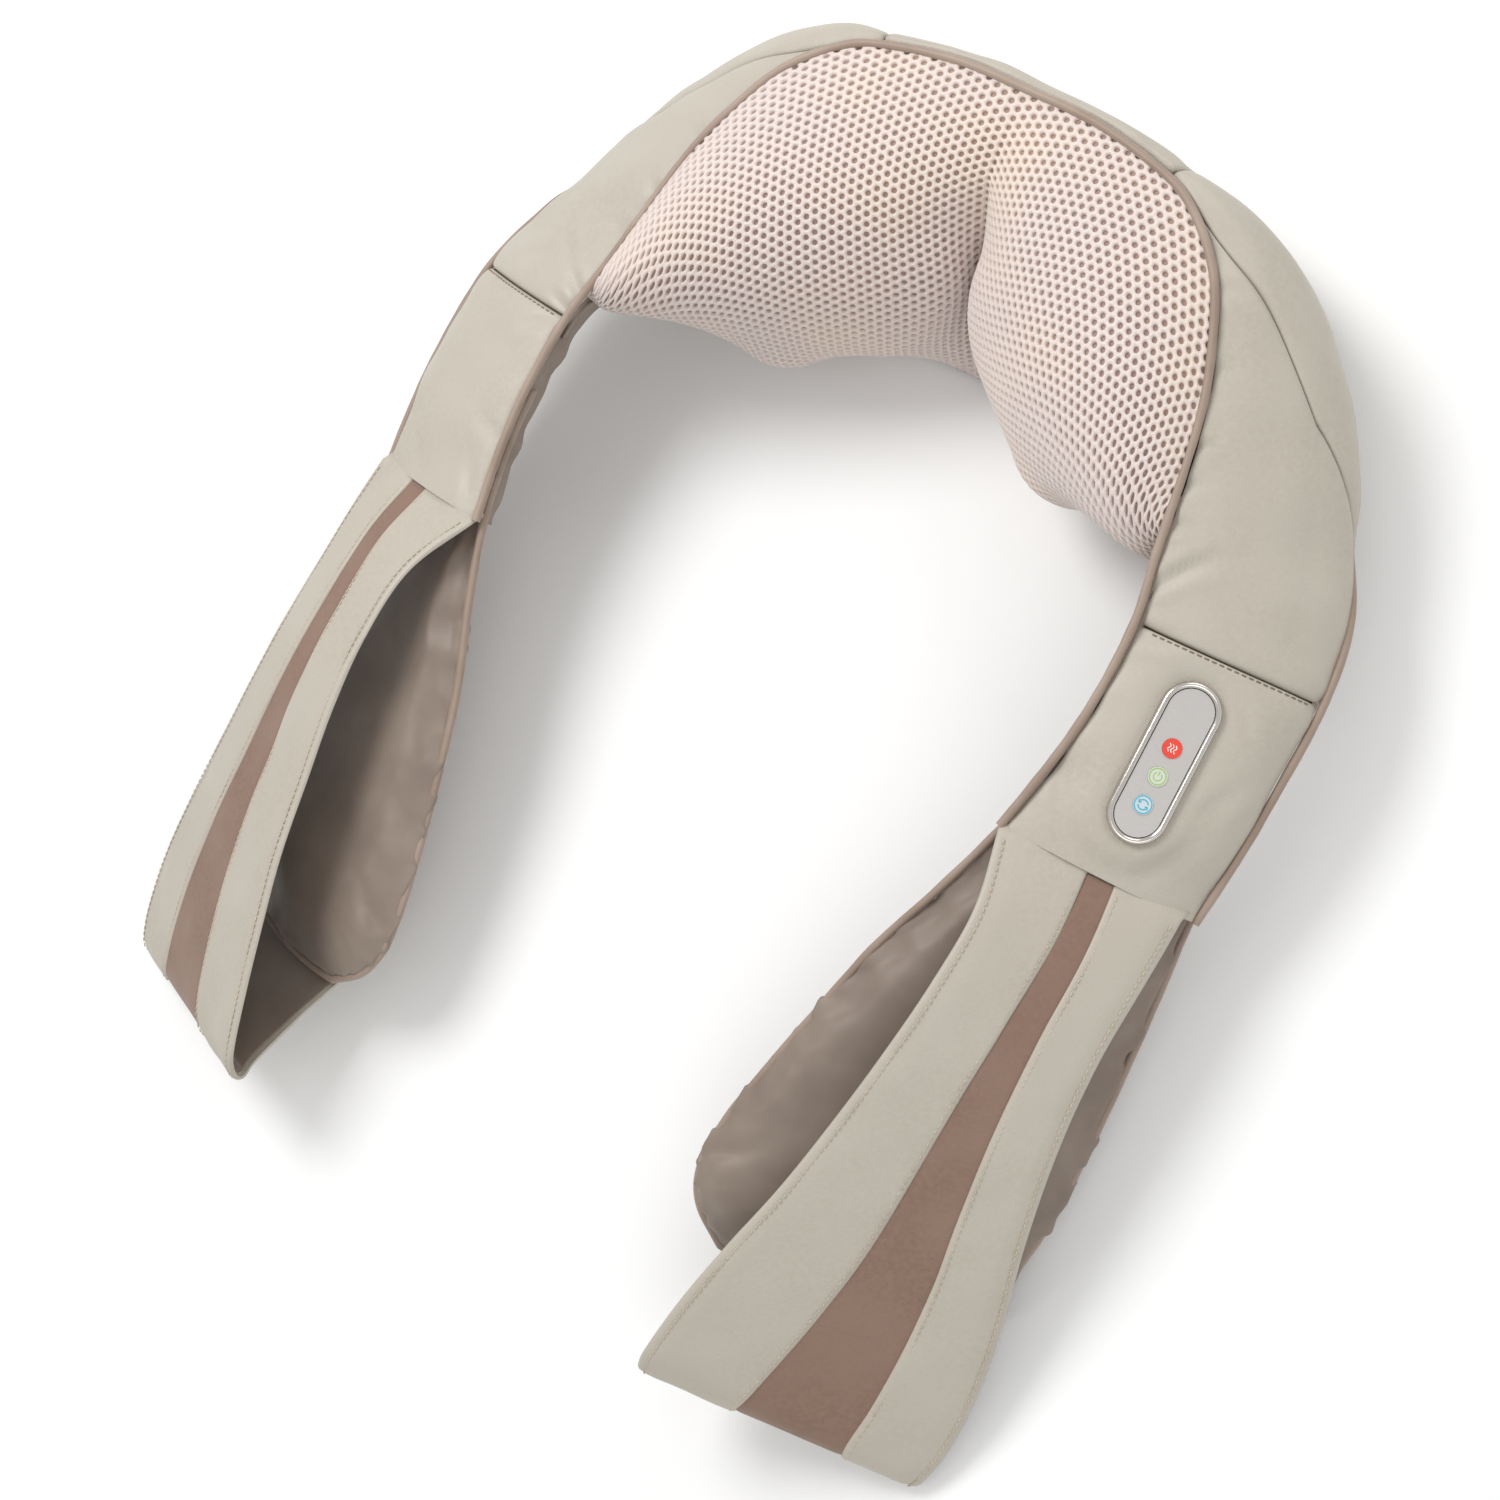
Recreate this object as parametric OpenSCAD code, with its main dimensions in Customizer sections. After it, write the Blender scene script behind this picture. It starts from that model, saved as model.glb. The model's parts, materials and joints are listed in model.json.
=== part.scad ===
// Shiatsu neck massager: a U-shaped collar with a kneading pod at the back of the neck,
// two padded arms and two hand-strap loops. It stands on the base of its pod and on the
// outer corners of its straps. +Y points to the back of the neck, +Z up, millimetres.

/* [Body] */
// Tilt of the collar's rim above the surface it stands on, degrees
rim_tilt = 8.5; // [8:0.5:9]
// Height of the rim above the surface at the back of the neck
rim_height = 121; // [120:0.5:122]
// Distance from the row's centre to the rim at the back of the neck
rim_back = 256.3; // [250:0.1:265]
// Thickness of the leather-look panels
skin_t = 2; // [1.5:0.1:2]
// Radius of the piping along the rims
piping_r = 1.8; // [1.4:0.1:2]

/* [Kneading mechanism] */
// Sideways distance from the middle to each rotor's axis, which sets the gear sizes
rotor_x = 64; // [64:1:64]
// Distance down the front slope from the rim to the rotors' axes
rotor_t = 84; // [83:1:84]
// Slope of the front of the pod below the rim, degrees
pod_slope = 42; // [41:0.5:43]
// Radius of the circle that the massage heads run on
orbit_r = 34; // [32:1:34]
// Largest radius of a massage head
head_r = 20; // [17:1:20]
// Height of a massage head above its rotor plate
head_h = 50; // [44:1:50]
// Gear module
gear_m = 2; // [2:0.5:2]
// Teeth on each rotor wheel
wheel_teeth = 40; // [40:1:40]
// Teeth on the drive pinion and the idler
pinion_teeth = 12; // [12:1:12]
// Radius of the fixed posts that the rotors turn on
post_r = 6; // [5:0.5:7]
// Radial running clearance of every shaft and button
run_gap = 0.06; // [0.03:0.01:0.1]

/* [Controls] */
// Length of the control bezel
bezel_l = 70; // [66:1:72]
// Width of the control bezel
bezel_w = 25; // [23:1:26]
// Radius of each round button
button_r = 4; // [3.5:0.1:4.2]
// Distance between the buttons
button_pitch = 12.5; // [11:0.5:13]

/* [Power inlet] */
// Radius of the inlet's centre pin
jack_pin_r = 1.05; // [0.65:0.05:1.25]
// Radius of the inlet's barrel bore
jack_bore_r = 3.2; // [2.9:0.1:3.4]

/* [Hidden] */

// Colours
leather = [0.72, 0.69, 0.63];
taupe = [0.50, 0.43, 0.38];
brown = [0.46, 0.34, 0.28];
mesh_pink = [0.88, 0.80, 0.77];
foam_white = [0.93, 0.91, 0.86];
moulded = [0.80, 0.79, 0.76];
steel = [0.70, 0.71, 0.73];
nylon = [0.90, 0.88, 0.80];

// ---------------------------------------------------------------- frames
// The rim frame has its origin at the middle of the back rim, X across, Y towards the
// back, Z square to the plane of the rim.
module in_rim() {
    translate([0, rim_back, rim_height]) rotate([rim_tilt, 0, 0]) children();
}

// The slope frame has its X across, Y down the front slope of the pod, Z out of it.
module on_slope() {
    in_rim() rotate([pod_slope, 0, 0]) mirror([0, 1, 0]) children();
}

function slope_point(x, t, w) = [
    x,
    -t * cos(pod_slope) - w * sin(pod_slope),
    -t * sin(pod_slope) + w * cos(pod_slope)
];
function slope_t(p) = -p[1] * cos(pod_slope) - p[2] * sin(pod_slope);
function slope_w(p) = -p[1] * sin(pod_slope) + p[2] * cos(pod_slope);

// Height in the rim frame of a point that lies z_row above the surface
function rim_z(y, z_row) = (z_row - rim_height - y * sin(rim_tilt)) / cos(rim_tilt);

// ---------------------------------------------------------------- point helpers
function lerp(a, b, t) = a + (b - a) * t;
function toward(p, q, d) = p + (q - p) * (d / norm(q - p));
function flip(p, side) = [side * p[0], p[1], p[2]];
function flip_grid(grid, side) = [for (row = grid) [for (p = row) flip(p, side)]];
function at(table, j, k) =
    let (a = floor(j), b = min(a + 1, len(table) - 1))
    lerp(table[a][k], table[b][k], j - a);

// Faces turned so that their outer sides show, from the sign of the volume they close
function volume(points, faces) = sum6([for (f = faces)
    points[f[0]] * cross(points[f[1]], points[f[2]])]);
function sum6(v, i = 0, total = 0) = i == len(v) ? total / 6 : sum6(v, i + 1, total + v[i]);
function outward(points, faces) =
    volume(points, faces) < 0 ? faces : [for (f = faces) [for (i = [len(f) - 1:-1:0]) f[i]]];

// A closed solid between two grids of points with the same rows and columns
module slab(top, bottom) {
    n = len(top);
    m = len(top[0]);
    base = n * m;
    cells = [for (i = [0:n - 2], j = [0:m - 2])
        let (p = i * m + j)
        [p, p + 1, p + m, p + m + 1]];
    top_faces = [for (c = cells) each [[c[0], c[2], c[1]], [c[1], c[2], c[3]]]];
    low_faces = [for (f = top_faces) [f[0] + base, f[2] + base, f[1] + base]];
    ring = concat(
        [for (j = [0:m - 1]) j],
        [for (i = [1:n - 1]) i * m + m - 1],
        [for (j = [m - 2:-1:0]) (n - 1) * m + j],
        [for (i = [n - 2:-1:1]) i * m]);
    side_faces = [for (k = [0:len(ring) - 1])
        let (a = ring[k], b = ring[(k + 1) % len(ring)])
        each [[a, b, a + base], [b, b + base, a + base]]];
    points = concat([for (row = top) each row], [for (row = bottom) each row]);
    polyhedron(points, outward(points, concat(top_faces, low_faces, side_faces)));
}

// A round bar of the given radius along a path
module bar(path, r, sides = 8) {
    n = len(path);
    tangent = [for (i = [0:n - 1]) let (d = path[min(i + 1, n - 1)] - path[max(i - 1, 0)]) d / norm(d)];
    rings = [for (i = [0:n - 1])
        let (up = abs(tangent[i][2]) > 0.9 ? [1, 0, 0] : [0, 0, 1],
             a = cross(tangent[i], up) / norm(cross(tangent[i], up)),
             b = cross(a, tangent[i]))
        each [for (k = [0:sides - 1]) path[i] + r * (cos(360 * k / sides) * a + sin(360 * k / sides) * b)]];
    walls = [for (i = [0:n - 2], k = [0:sides - 1])
        let (p = i * sides + k, q = i * sides + (k + 1) % sides)
        each [[p, q, p + sides], [q, q + sides, p + sides]]];
    ends = [for (k = [1:sides - 2]) each [
        [0, k + 1, k],
        [(n - 1) * sides, (n - 1) * sides + k, (n - 1) * sides + k + 1]]];
    polyhedron(rings, outward(rings, concat(walls, ends)));
}

// ---------------------------------------------------------------- collar outline
// One row per station along the right half, from the middle of the back to the strap seam:
// inner rim, outer edge, outer foot, inner foot
COLLAR = [
    [[0, 0, 0], [0, 5, -6], [0, 4, -121], [0, -112, -103]],
    [[36, -1, 0], [36, 4, -6], [37, 3, -121], [36, -113, -103]],
    [[71, -8, 0], [74, -1, -9], [75, -2, -120], [70, -114, -103]],
    [[88, -16, 0], [100, -5, -17], [100, -12, -116], [88, -116, -100]],
    [[104, -30, 0], [124, -14, -26], [122, -28, -106], [102, -118, -94]],
    [[115, -46, 0], [147, -31, -34], [143, -46, -94], [113, -122, -85]],
    [[128, -76, 0], [176, -66, -40], [170, -74, -79], [125, -130, -66]],
    [[135, -104, 0], [194, -102, -41], [188, -104, -70], [133, -138, -47]],
    [[142, -142, 1], [209, -136, -38], [204, -138, -62], [142, -150, -28]],
    [[148, -171, 2], [216, -167, -30], [212, -169, -54], [149, -172, -22]],
    [[149, -206, 4], [217, -204, -25], [214, -206, -49], [150, -206, -19]],
    [[146, -236, 6], [216, -236, -24], [214, -236, -47], [147, -236, -16]],
    [[140, -268, 8], [213, -268, -24], [212, -268, -46], [141, -268, -13]]
];
SEAM_A = 2;
SEAM_B = 3;
SEAM_B_OUT = 6;
MESH_END = 8;
SEAM_SHOULDER = 9;
SEAM_STRAP = 12;

// A point deep inside the collar at a station, which panel thickness is measured towards
function core(j) =
    j <= 5 ? lerp([20 * j, -60, -60], [125, -95, -40], j / 6)
           : (at(COLLAR, j, 0) + at(COLLAR, j, 1) + at(COLLAR, j, 2) + at(COLLAR, j, 3)) / 4;

// Columns of the panel section, from the inner rim over the outer edge to the outer foot
SKIN_COLS = 8;
function crown(j) = 1 + 4 * min(j / 8, 1);
function skin_point(j, i, depth = 0) =
    let (edge_gap = piping_r + 0.5,
         out = at(COLLAR, j, 1),
         foot = at(COLLAR, j, 2),
         rim = toward(at(COLLAR, j, 0), out, edge_gap),
         outwards = (out - rim) / norm(out - rim),
         u = i / 5,
         v = (i - 5) / 3,
         p = i <= 5 ? lerp(rim, out, u) + [0, 0, crown(j) * sin(180 * u)]
                    : lerp(out, foot, v) + outwards * crown(j) * sin(180 * v))
    depth == 0 ? p : toward(p, core(j), depth);

// A panel between two seams. Each seam is a function of the column, given by its station
// at the rim and at the outer edge.
function seam(at_rim, at_edge, i) = lerp(at_rim, at_edge, min(i / 5, 1));
function panel_grid(a, b, steps, depth) =
    [for (s = [0:steps]) [for (i = [0:SKIN_COLS])
        let (j = lerp(seam(a[0], a[1], i), seam(b[0], b[1], i), s / steps))
        skin_point(j, i, depth)]];

module panel(a, b, steps, side) {
    in_rim() color(leather)
        slab(flip_grid(panel_grid(a, b, steps, 0), side), flip_grid(panel_grid(a, b, steps, skin_t), side));
}

module back_panel() {
    half = panel_grid([0, 0], [SEAM_A, SEAM_A], 4, 0);
    half_in = panel_grid([0, 0], [SEAM_A, SEAM_A], 4, skin_t);
    whole = concat([for (s = [4:-1:1]) [for (p = half[s]) flip(p, -1)]], half);
    whole_in = concat([for (s = [4:-1:1]) [for (p = half_in[s]) flip(p, -1)]], half_in);
    color(leather) difference() {
        in_rim() slab(whole, whole_in);
        inlet_place() cylinder(r = inlet_flange_r + 0.3, h = 40, center = true, $fn = 48);
    }
}
module wedge_panel(side) { panel([SEAM_A, SEAM_A], [SEAM_B, SEAM_B_OUT], 4, side); }
module shoulder_panel(side) { panel([SEAM_B, SEAM_B_OUT], [SEAM_SHOULDER, SEAM_SHOULDER], 7, side); }
module arm_panel(side) {
    color(leather) difference() {
        panel([SEAM_SHOULDER, SEAM_SHOULDER], [SEAM_STRAP, SEAM_STRAP], 4, side);
        if (side > 0) control_place() pocket();
    }
}

// ---------------------------------------------------------------- underside
// The pod stands on a flat stitched base
module pod_base() {
    half = [for (j = [0:3]) at(COLLAR, j, 2)];
    front = [for (j = [3:-1:0]) at(COLLAR, j, 3)];
    foot = [for (p = concat(half, front)) [p[0], p[1] * cos(rim_tilt) - p[2] * sin(rim_tilt) + rim_back]];
    inset = 3;
    pts = [for (p = foot) [max(p[0] - inset, 0), p[1] + (p[1] > 200 ? -inset : inset)]];
    color(taupe) linear_extrude(skin_t)
        polygon(concat(pts, [for (i = [len(pts) - 2:-1:1]) [-pts[i][0], pts[i][1]]]));
}

// Underside of the shoulder, between the pod's base and the pad
function under_point(j, i, depth) =
    let (p = lerp(at(COLLAR, j, 3), at(COLLAR, j, 2), lerp(0.05, 0.965, i / 4)) - [0, 0, 3 * sin(45 * i)])
    toward(p, core(max(j, 5)) + [0, 0, 10], depth);
module under_panel(side) {
    stations = [for (s = [0:6]) lerp(SEAM_B + 0.05, MESH_END, s / 6)];
    grid = [for (j = stations) [for (i = [0:4]) under_point(j, i, 0)]];
    grid_in = [for (j = stations) [for (i = [0:4]) under_point(j, i, skin_t)]];
    in_rim() color(taupe) slab(flip_grid(grid_in, side), flip_grid(grid, side));
}

// ---------------------------------------------------------------- mesh cover
// The heads sweep a ring of this height, and the cover clears it
sweep_gap = 9;
function swept_height(x, t) =
    let (r = norm([abs(x) - rotor_x, t - rotor_t]), reach = head_r + sweep_gap)
    r < orbit_r ? head_top + sweep_gap
    : r < orbit_r + reach ? head_top - head_r + sqrt(max(reach * reach - pow(r - orbit_r, 2), 0))
    : -100;

MESH_STATIONS = [0, 0.15, 0.3, 0.6, 1, 1.5, 2, 2.5, 3, 3.5, 4, 4.5, 5, 5.5, 6, 7, 8];
MESH_ROWS = 15;
function mesh_point(j, q, depth) =
    let (rim = toward(at(COLLAR, j, 0), core(j), piping_r + 1),
         foot = toward(at(COLLAR, j, 3), core(j), 2),
         p = lerp(rim, foot, q),
         lift = 20 * pow(sin(180 * q), 0.6) * max(1 - j / 7, 0.1),
         t = slope_t(p),
         w = max(slope_w(p) + lift, swept_height(p[0], t)))
    slope_point(p[0], t, w - depth);
module mesh_cover() {
    half = [for (j = MESH_STATIONS) [for (r = [0:MESH_ROWS]) mesh_point(j, r / MESH_ROWS, 0)]];
    half_in = [for (j = MESH_STATIONS) [for (r = [0:MESH_ROWS]) mesh_point(j, r / MESH_ROWS, 2)]];
    last = len(MESH_STATIONS) - 1;
    whole = concat([for (s = [last:-1:1]) [for (p = half[s]) flip(p, -1)]], half);
    whole_in = concat([for (s = [last:-1:1]) [for (p = half_in[s]) flip(p, -1)]], half_in);
    in_rim() color(mesh_pink) slab(whole_in, whole);
}

// ---------------------------------------------------------------- piping along the inner rim
module rim_piping() {
    stations = [for (s = [0.25:0.25:SEAM_STRAP]) s];
    right = [for (s = stations) at(COLLAR, s, 0)];
    left = [for (i = [len(right) - 1:-1:0]) flip(right[i], -1)];
    in_rim() color(brown) bar(concat(left, [[0, 0, 0]], right), piping_r, 6);
}

// ---------------------------------------------------------------- foam
// Foam fills the shoulders and arms behind the panels, from the rim to two thirds of the
// way down the skirt. Its inner side stays outside the rotors' swept circle.
foam_gap = 1.6;
foam_cols = SKIN_COLS - 1;
function foam_top(j, i) = skin_point(j, i, skin_t + foam_gap);
function foam_low(j, i) =
    let (rim = at(COLLAR, j, 0),
         foot = at(COLLAR, j, 2),
         inner = j < MESH_END ? toward(lerp(at(COLLAR, j, 3), rim, 0.3), foot, 14) : lerp(rim, foot, 0.2),
         lift = j < MESH_END ? 5 : pad_edge + 4)
    lerp(inner, foot, i / foam_cols * 0.92) + [0, 0, lift];
module foam(a, b, steps, side) {
    stations = [for (s = [0:steps]) lerp(a, b, s / steps)];
    top = [for (j = stations) [for (i = [0:foam_cols]) foam_top(j, i)]];
    low = [for (j = stations) [for (i = [0:foam_cols]) foam_low(j, i)]];
    in_rim() color(foam_white) slab(flip_grid(top, side), flip_grid(low, side));
}
module shoulder_foam(side) { foam(6, SEAM_SHOULDER - 0.02, 6, side); }
module left_arm_foam() { foam(SEAM_SHOULDER + 0.02, SEAM_STRAP - 0.05, 6, -1); }
// The right arm's foam mirrors the left's, with a hole right through it for the control panel
module right_arm_foam() {
    color(foam_white) mirror([1, 0, 0]) difference() {
        left_arm_foam();
        mirror([1, 0, 0]) control_place() pocket(60);
    }
}

// ---------------------------------------------------------------- pads
// Inner and outer edge of the right pad, from the mesh end to the rounded end
pad_edge = 2.5;
PAD = [
    [[144, -154, -10], [204, -144, -62]],
    [[149, -172, -5], [210, -169, -57]],
    [[150, -206, -3], [212, -206, -52]],
    [[147, -236, 0], [212, -236, -50]],
    [[140, -268, 2], [212, -268, -49]],
    [[128, -304, 2], [216, -304, -47]],
    [[115, -338, 1], [219, -338, -46]],
    [[106, -372, 0], [221, -372, -46]],
    [[98, -405, 0], [221, -405, -47]],
    [[92, -435, 0], [218, -435, -47]],
    [[91, -456, -1], [209, -456, -46]],
    [[97, -472, -4], [194, -472, -42]],
    [[112, -484, -10], [168, -484, -31]]
];
PAD_COLS = 8;
// The pad swells above its edges past the arm, and below them all along
function pad_swell(s) = let (free = min(max((s - 4) / 3, 0), 1)) s > 11 ? 3 : 7 * free;
function pad_sag(s) = s > 11 ? 3 : 8;
function pad_point(s, i, above) =
    let (hump = sin(180 * i / PAD_COLS))
    lerp(PAD[s][0], PAD[s][1], i / PAD_COLS)
        + [0, 0, above ? pad_edge + pad_swell(s) * hump : -pad_edge - pad_sag(s) * hump];
module pad(side) {
    top = [for (s = [0:len(PAD) - 1]) [for (i = [0:PAD_COLS]) pad_point(s, i, true)]];
    low = [for (s = [0:len(PAD) - 1]) [for (i = [0:PAD_COLS]) pad_point(s, i, false)]];
    in_rim() color(taupe) slab(flip_grid(top, side), flip_grid(low, side));
}
// A point moved away from the pad's middle line, which ends at the given middle
function beside(p, middle, off) = toward(p, [middle[0], max(p[1], middle[1]), middle[2]], off);
module pad_piping(side) {
    first = 5;
    last = len(PAD) - 1;
    off = -piping_r - 1.2;
    middle = [150, -445, -22];
    inner = [for (s = [first:last]) beside(PAD[s][0], middle, off)];
    outer = [for (s = [last:-1:first]) beside(PAD[s][1], middle, off)];
    end = [for (u = [0.25:0.25:0.75]) lerp(PAD[last][0], PAD[last][1], u) - [0, piping_r + 1.4, 0]];
    path = [for (p = concat(inner, end, outer)) flip(p, side)];
    in_rim() color(brown) bar(path, piping_r, 6);
}

// ---------------------------------------------------------------- hand straps
// Inner and outer edge of the right strap: sewn to the arm, arched over the pad, folded at
// the end, and back to the pad's rounded end
STRAP = [
    [[140, -269, 8], [213, -269, -23]],
    [[151, -300, 21], [215, -303, -16]],
    [[152, -334, 28], [217, -340, -11]],
    [[149, -368, 31], [220, -377, -11]],
    [[144, -402, 32], [225, -416, -17]],
    [[138, -436, 34], [231, -452, -25]],
    [[130, -468, 35], [234, -485, -31]],
    [[123, -498, 34], [233, -510, -35]],
    [[118, -524, 30], [230, -525, -37]],
    [[116, -534, 24], [228, -530, -39]],
    [[116, -536, 17], [226, -530, -41]],
    [[118, -529, 10], [222, -525, -42]],
    [[115, -506, -2], [206, -506, -43]],
    [[112, -486, -15], [186, -486, -43]]
];
STRAP_FOLD = 9;
strap_t = 2.2;
lining_t = 1;
stripe_t = 0.8;
// Clearance between the layers of a strap
layer_gap = 0.1;
STRAP_COLS = 6;
function strap_normal(s) =
    let (a = STRAP[max(s - 1, 0)], b = STRAP[min(s + 1, len(STRAP) - 1)],
         along = (b[0] + b[1] - a[0] - a[1]) / 2,
         across = STRAP[s][1] - STRAP[s][0],
         n = cross(across, along))
    -n / norm(n);
function strap_point(s, u, h) = lerp(STRAP[s][0], STRAP[s][1], u) + h * strap_normal(s);
function strap_grid(h, from = [0, 1], to = [0, 1], last = len(STRAP) - 1) =
    [for (s = [0:last]) let (share = lerp(from, to, min(s / STRAP_FOLD, 1)))
        [for (i = [0:STRAP_COLS]) strap_point(s, lerp(share[0], share[1], i / STRAP_COLS), h)]];
module strap(side) {
    in_rim() color(leather) slab(flip_grid(strap_grid(strap_t), side), flip_grid(strap_grid(0), side));
}
module strap_lining(side) {
    in_rim() color(taupe) slab(
        flip_grid(strap_grid(-layer_gap), side),
        flip_grid(strap_grid(-layer_gap - lining_t), side));
}
// The stripe widens from the seam to the fold
stripe_from = [0.48, 0.63];
stripe_to = [0.35, 0.73];
module strap_stripe(side) {
    base = strap_t + 0.5;
    in_rim() color(brown) slab(
        flip_grid(strap_grid(base + stripe_t, stripe_from, stripe_to, 11), side),
        flip_grid(strap_grid(base, stripe_from, stripe_to, 11), side));
}

// ---------------------------------------------------------------- pod housing
// Heights in the slope frame, from the deepest to the outermost
plate_low = -31;
plate_top = -28;
wheel_low = -26;
wheel_top = -18;
rotor_top = -12;
head_top = rotor_top + head_h;
housing_top = -18.5;
wall = 3;

module rounded(w, h, r) {
    square([w - 2 * r, h], center = true);
    square([w, h - 2 * r], center = true);
    for (x = [-1, 1], y = [-1, 1])
        translate([x * (w / 2 - r), y * (h / 2 - r)]) circle(r, $fn = 64);
}

// The space inside the pod, drawn in by the given amount from the panels
module pod_space(inset, top) {
    big = 400;
    plan = [[46, -1], [72, -8], [101, -18], [112, -38], [112, -150]];
    front = [[112, 20], [112, -82], [98, -98], [86, -111], [84, -130]];
    intersection() {
        in_rim() translate([0, 0, -150]) linear_extrude(180)
            polygon(concat(
                [for (p = plan) [p[0] - inset * p[0] / 112, p[1] - inset]],
                [for (i = [len(plan) - 1:-1:0])
                    let (p = plan[i]) [inset * p[0] / 112 - p[0], p[1] - inset]]));
        in_rim() translate([0, 10, 0]) rotate([90, 0, 0]) linear_extrude(170)
            polygon(concat(
                [for (p = front) [p[0] - inset, p[1] + inset]],
                [for (i = [len(front) - 1:-1:0]) [inset - front[i][0], front[i][1] + inset]]));
        translate([-big / 2, -200, 3 + inset]) cube([big, big + 200, big]);
        on_slope() translate([0, 80, -200]) linear_extrude(200 + top)
            rounded(224 - 2 * inset, 116 - 2 * inset, 28);
    }
}

SCREWS = [[-24, 49], [24, 49], [-24, 116], [24, 116]];
screw_r = 1.5;
module rear_housing() {
    boss_r = 4;
    color(moulded) difference() {
        union() {
            difference() {
                pod_space(0, housing_top);
                pod_space(wall, housing_top + 5);
            }
            intersection() {
                pod_space(1, plate_low);
                on_slope() for (s = SCREWS)
                    translate([s[0], s[1], -120]) cylinder(r = boss_r, h = 150, $fn = 32);
            }
        }
        on_slope() {
            for (s = SCREWS)
                translate([s[0], s[1], plate_low - 10]) cylinder(r = screw_r + 0.05, h = 20, $fn = 32);
            for (x = [-rotor_x, rotor_x])
                translate([x, rotor_t, plate_top]) cylinder(r = wheel_clear_r, h = 30, $fn = 96);
        }
        inlet_place() cylinder(r = inlet_r + 0.1, h = 60, center = true, $fn = 48);
        in_rim() translate([90, -50, -92]) rotate([0, 90, 0]) cylinder(r = lead_r + 0.8, h = 60, $fn = 32);
    }
}

// Radius of the relief round each wheel, past its tips
wheel_clear_r = gear_m * wheel_teeth / 2 + gear_m + 0.8;
idler_x = gear_m * pinion_teeth / 2;
pin_r = 3;
module chassis_plate() {
    color(steel) difference() {
        intersection() {
            pod_space(wall + 0.5, housing_top);
            on_slope() translate([0, 79, plate_low])
                linear_extrude(plate_top - plate_low) rounded(212, 84, 10);
        }
        on_slope() {
            for (s = SCREWS)
                translate([s[0], s[1], plate_low - 5]) cylinder(r = screw_r + 0.1, h = 20, $fn = 32);
            translate([-idler_x, rotor_t, plate_low - 5]) cylinder(r = pin_r + run_gap, h = 20, $fn = 48);
        }
    }
}
module chassis_screws() {
    color(steel) on_slope() for (s = SCREWS) translate([s[0], s[1], plate_top]) {
        cylinder(r = 2.8, h = 1.8, $fn = 32);
        translate([0, 0, -12]) cylinder(r = screw_r, h = 12.1, $fn = 32);
    }
}

// ---------------------------------------------------------------- gears
// Involute tooth flank, from the base circle to the tip
function involute(base_r, r) =
    let (a = acos(min(base_r / r, 1))) tan(a) * 180 / PI - a;
function round_point(r, a) = r * [cos(a), sin(a)];
function gear_points(teeth, phase) =
    let (pitch_r = gear_m * teeth / 2,
         base_r = pitch_r * cos(20),
         tip_r = pitch_r + 0.9 * gear_m,
         root_r = pitch_r - 1.25 * gear_m,
         flank_r = max(base_r, root_r + 0.2),
         backlash = 0.12 * 180 / PI / pitch_r,
         half = 90 / teeth + involute(base_r, pitch_r) - backlash,
         steps = [0:0.25:1])
    [for (k = [0:teeth - 1]) let (c = phase + 360 * k / teeth) each concat(
        [round_point(root_r, c - half)],
        [for (u = steps) let (r = lerp(flank_r, tip_r, u)) round_point(r, c - half + involute(base_r, r))],
        [for (u = steps) let (r = lerp(tip_r, flank_r, u)) round_point(r, c + half - involute(base_r, r))],
        [round_point(root_r, c + half)])];
module gear(teeth, phase, h) { linear_extrude(h) polygon(gear_points(teeth, phase)); }

half_pinion = 180 / pinion_teeth;
half_wheel = 180 / wheel_teeth;
module wheel(side) {
    color(nylon) on_slope() translate([side * rotor_x, rotor_t, wheel_low]) difference() {
        gear(wheel_teeth, side > 0 ? half_wheel : 0, wheel_top - wheel_low);
        translate([0, 0, -5]) cylinder(r = post_r + run_gap, h = 20, $fn = 64);
    }
}
module drive_pinion() {
    color(steel) on_slope() translate([-idler_x, rotor_t, wheel_low - 0.5]) {
        gear(pinion_teeth, half_pinion, wheel_top - wheel_low);
        translate([0, 0, -18]) cylinder(r = pin_r, h = 18.1, $fn = 48);
    }
}
module idler_gear() {
    color(nylon) on_slope() translate([idler_x, rotor_t, wheel_low - 0.5]) difference() {
        gear(pinion_teeth, 0, wheel_top - wheel_low);
        translate([0, 0, -5]) cylinder(r = pin_r + run_gap, h = 20, $fn = 48);
    }
}
module idler_pin() {
    color(steel) on_slope() translate([idler_x, rotor_t, plate_top]) {
        cylinder(r = pin_r, h = wheel_top - plate_top, $fn = 48);
        cylinder(r = pin_r + 2, h = 1, $fn = 48);
        translate([0, 0, wheel_top - plate_top - 0.3]) cylinder(r = pin_r + 1.4, h = 1, $fn = 48);
    }
}

// ---------------------------------------------------------------- rotors
lamp_bore = 2;
module post(side) {
    color(steel) on_slope() translate([side * rotor_x, rotor_t, plate_top]) difference() {
        union() {
            cylinder(r = post_r, h = rotor_top - plate_top + 0.3, $fn = 64);
            cylinder(r = post_r + 4, h = wheel_low - plate_top - 0.2, $fn = 64);
        }
        translate([0, 0, -1]) cylinder(r = lamp_bore, h = 30, $fn = 32);
    }
}
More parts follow.
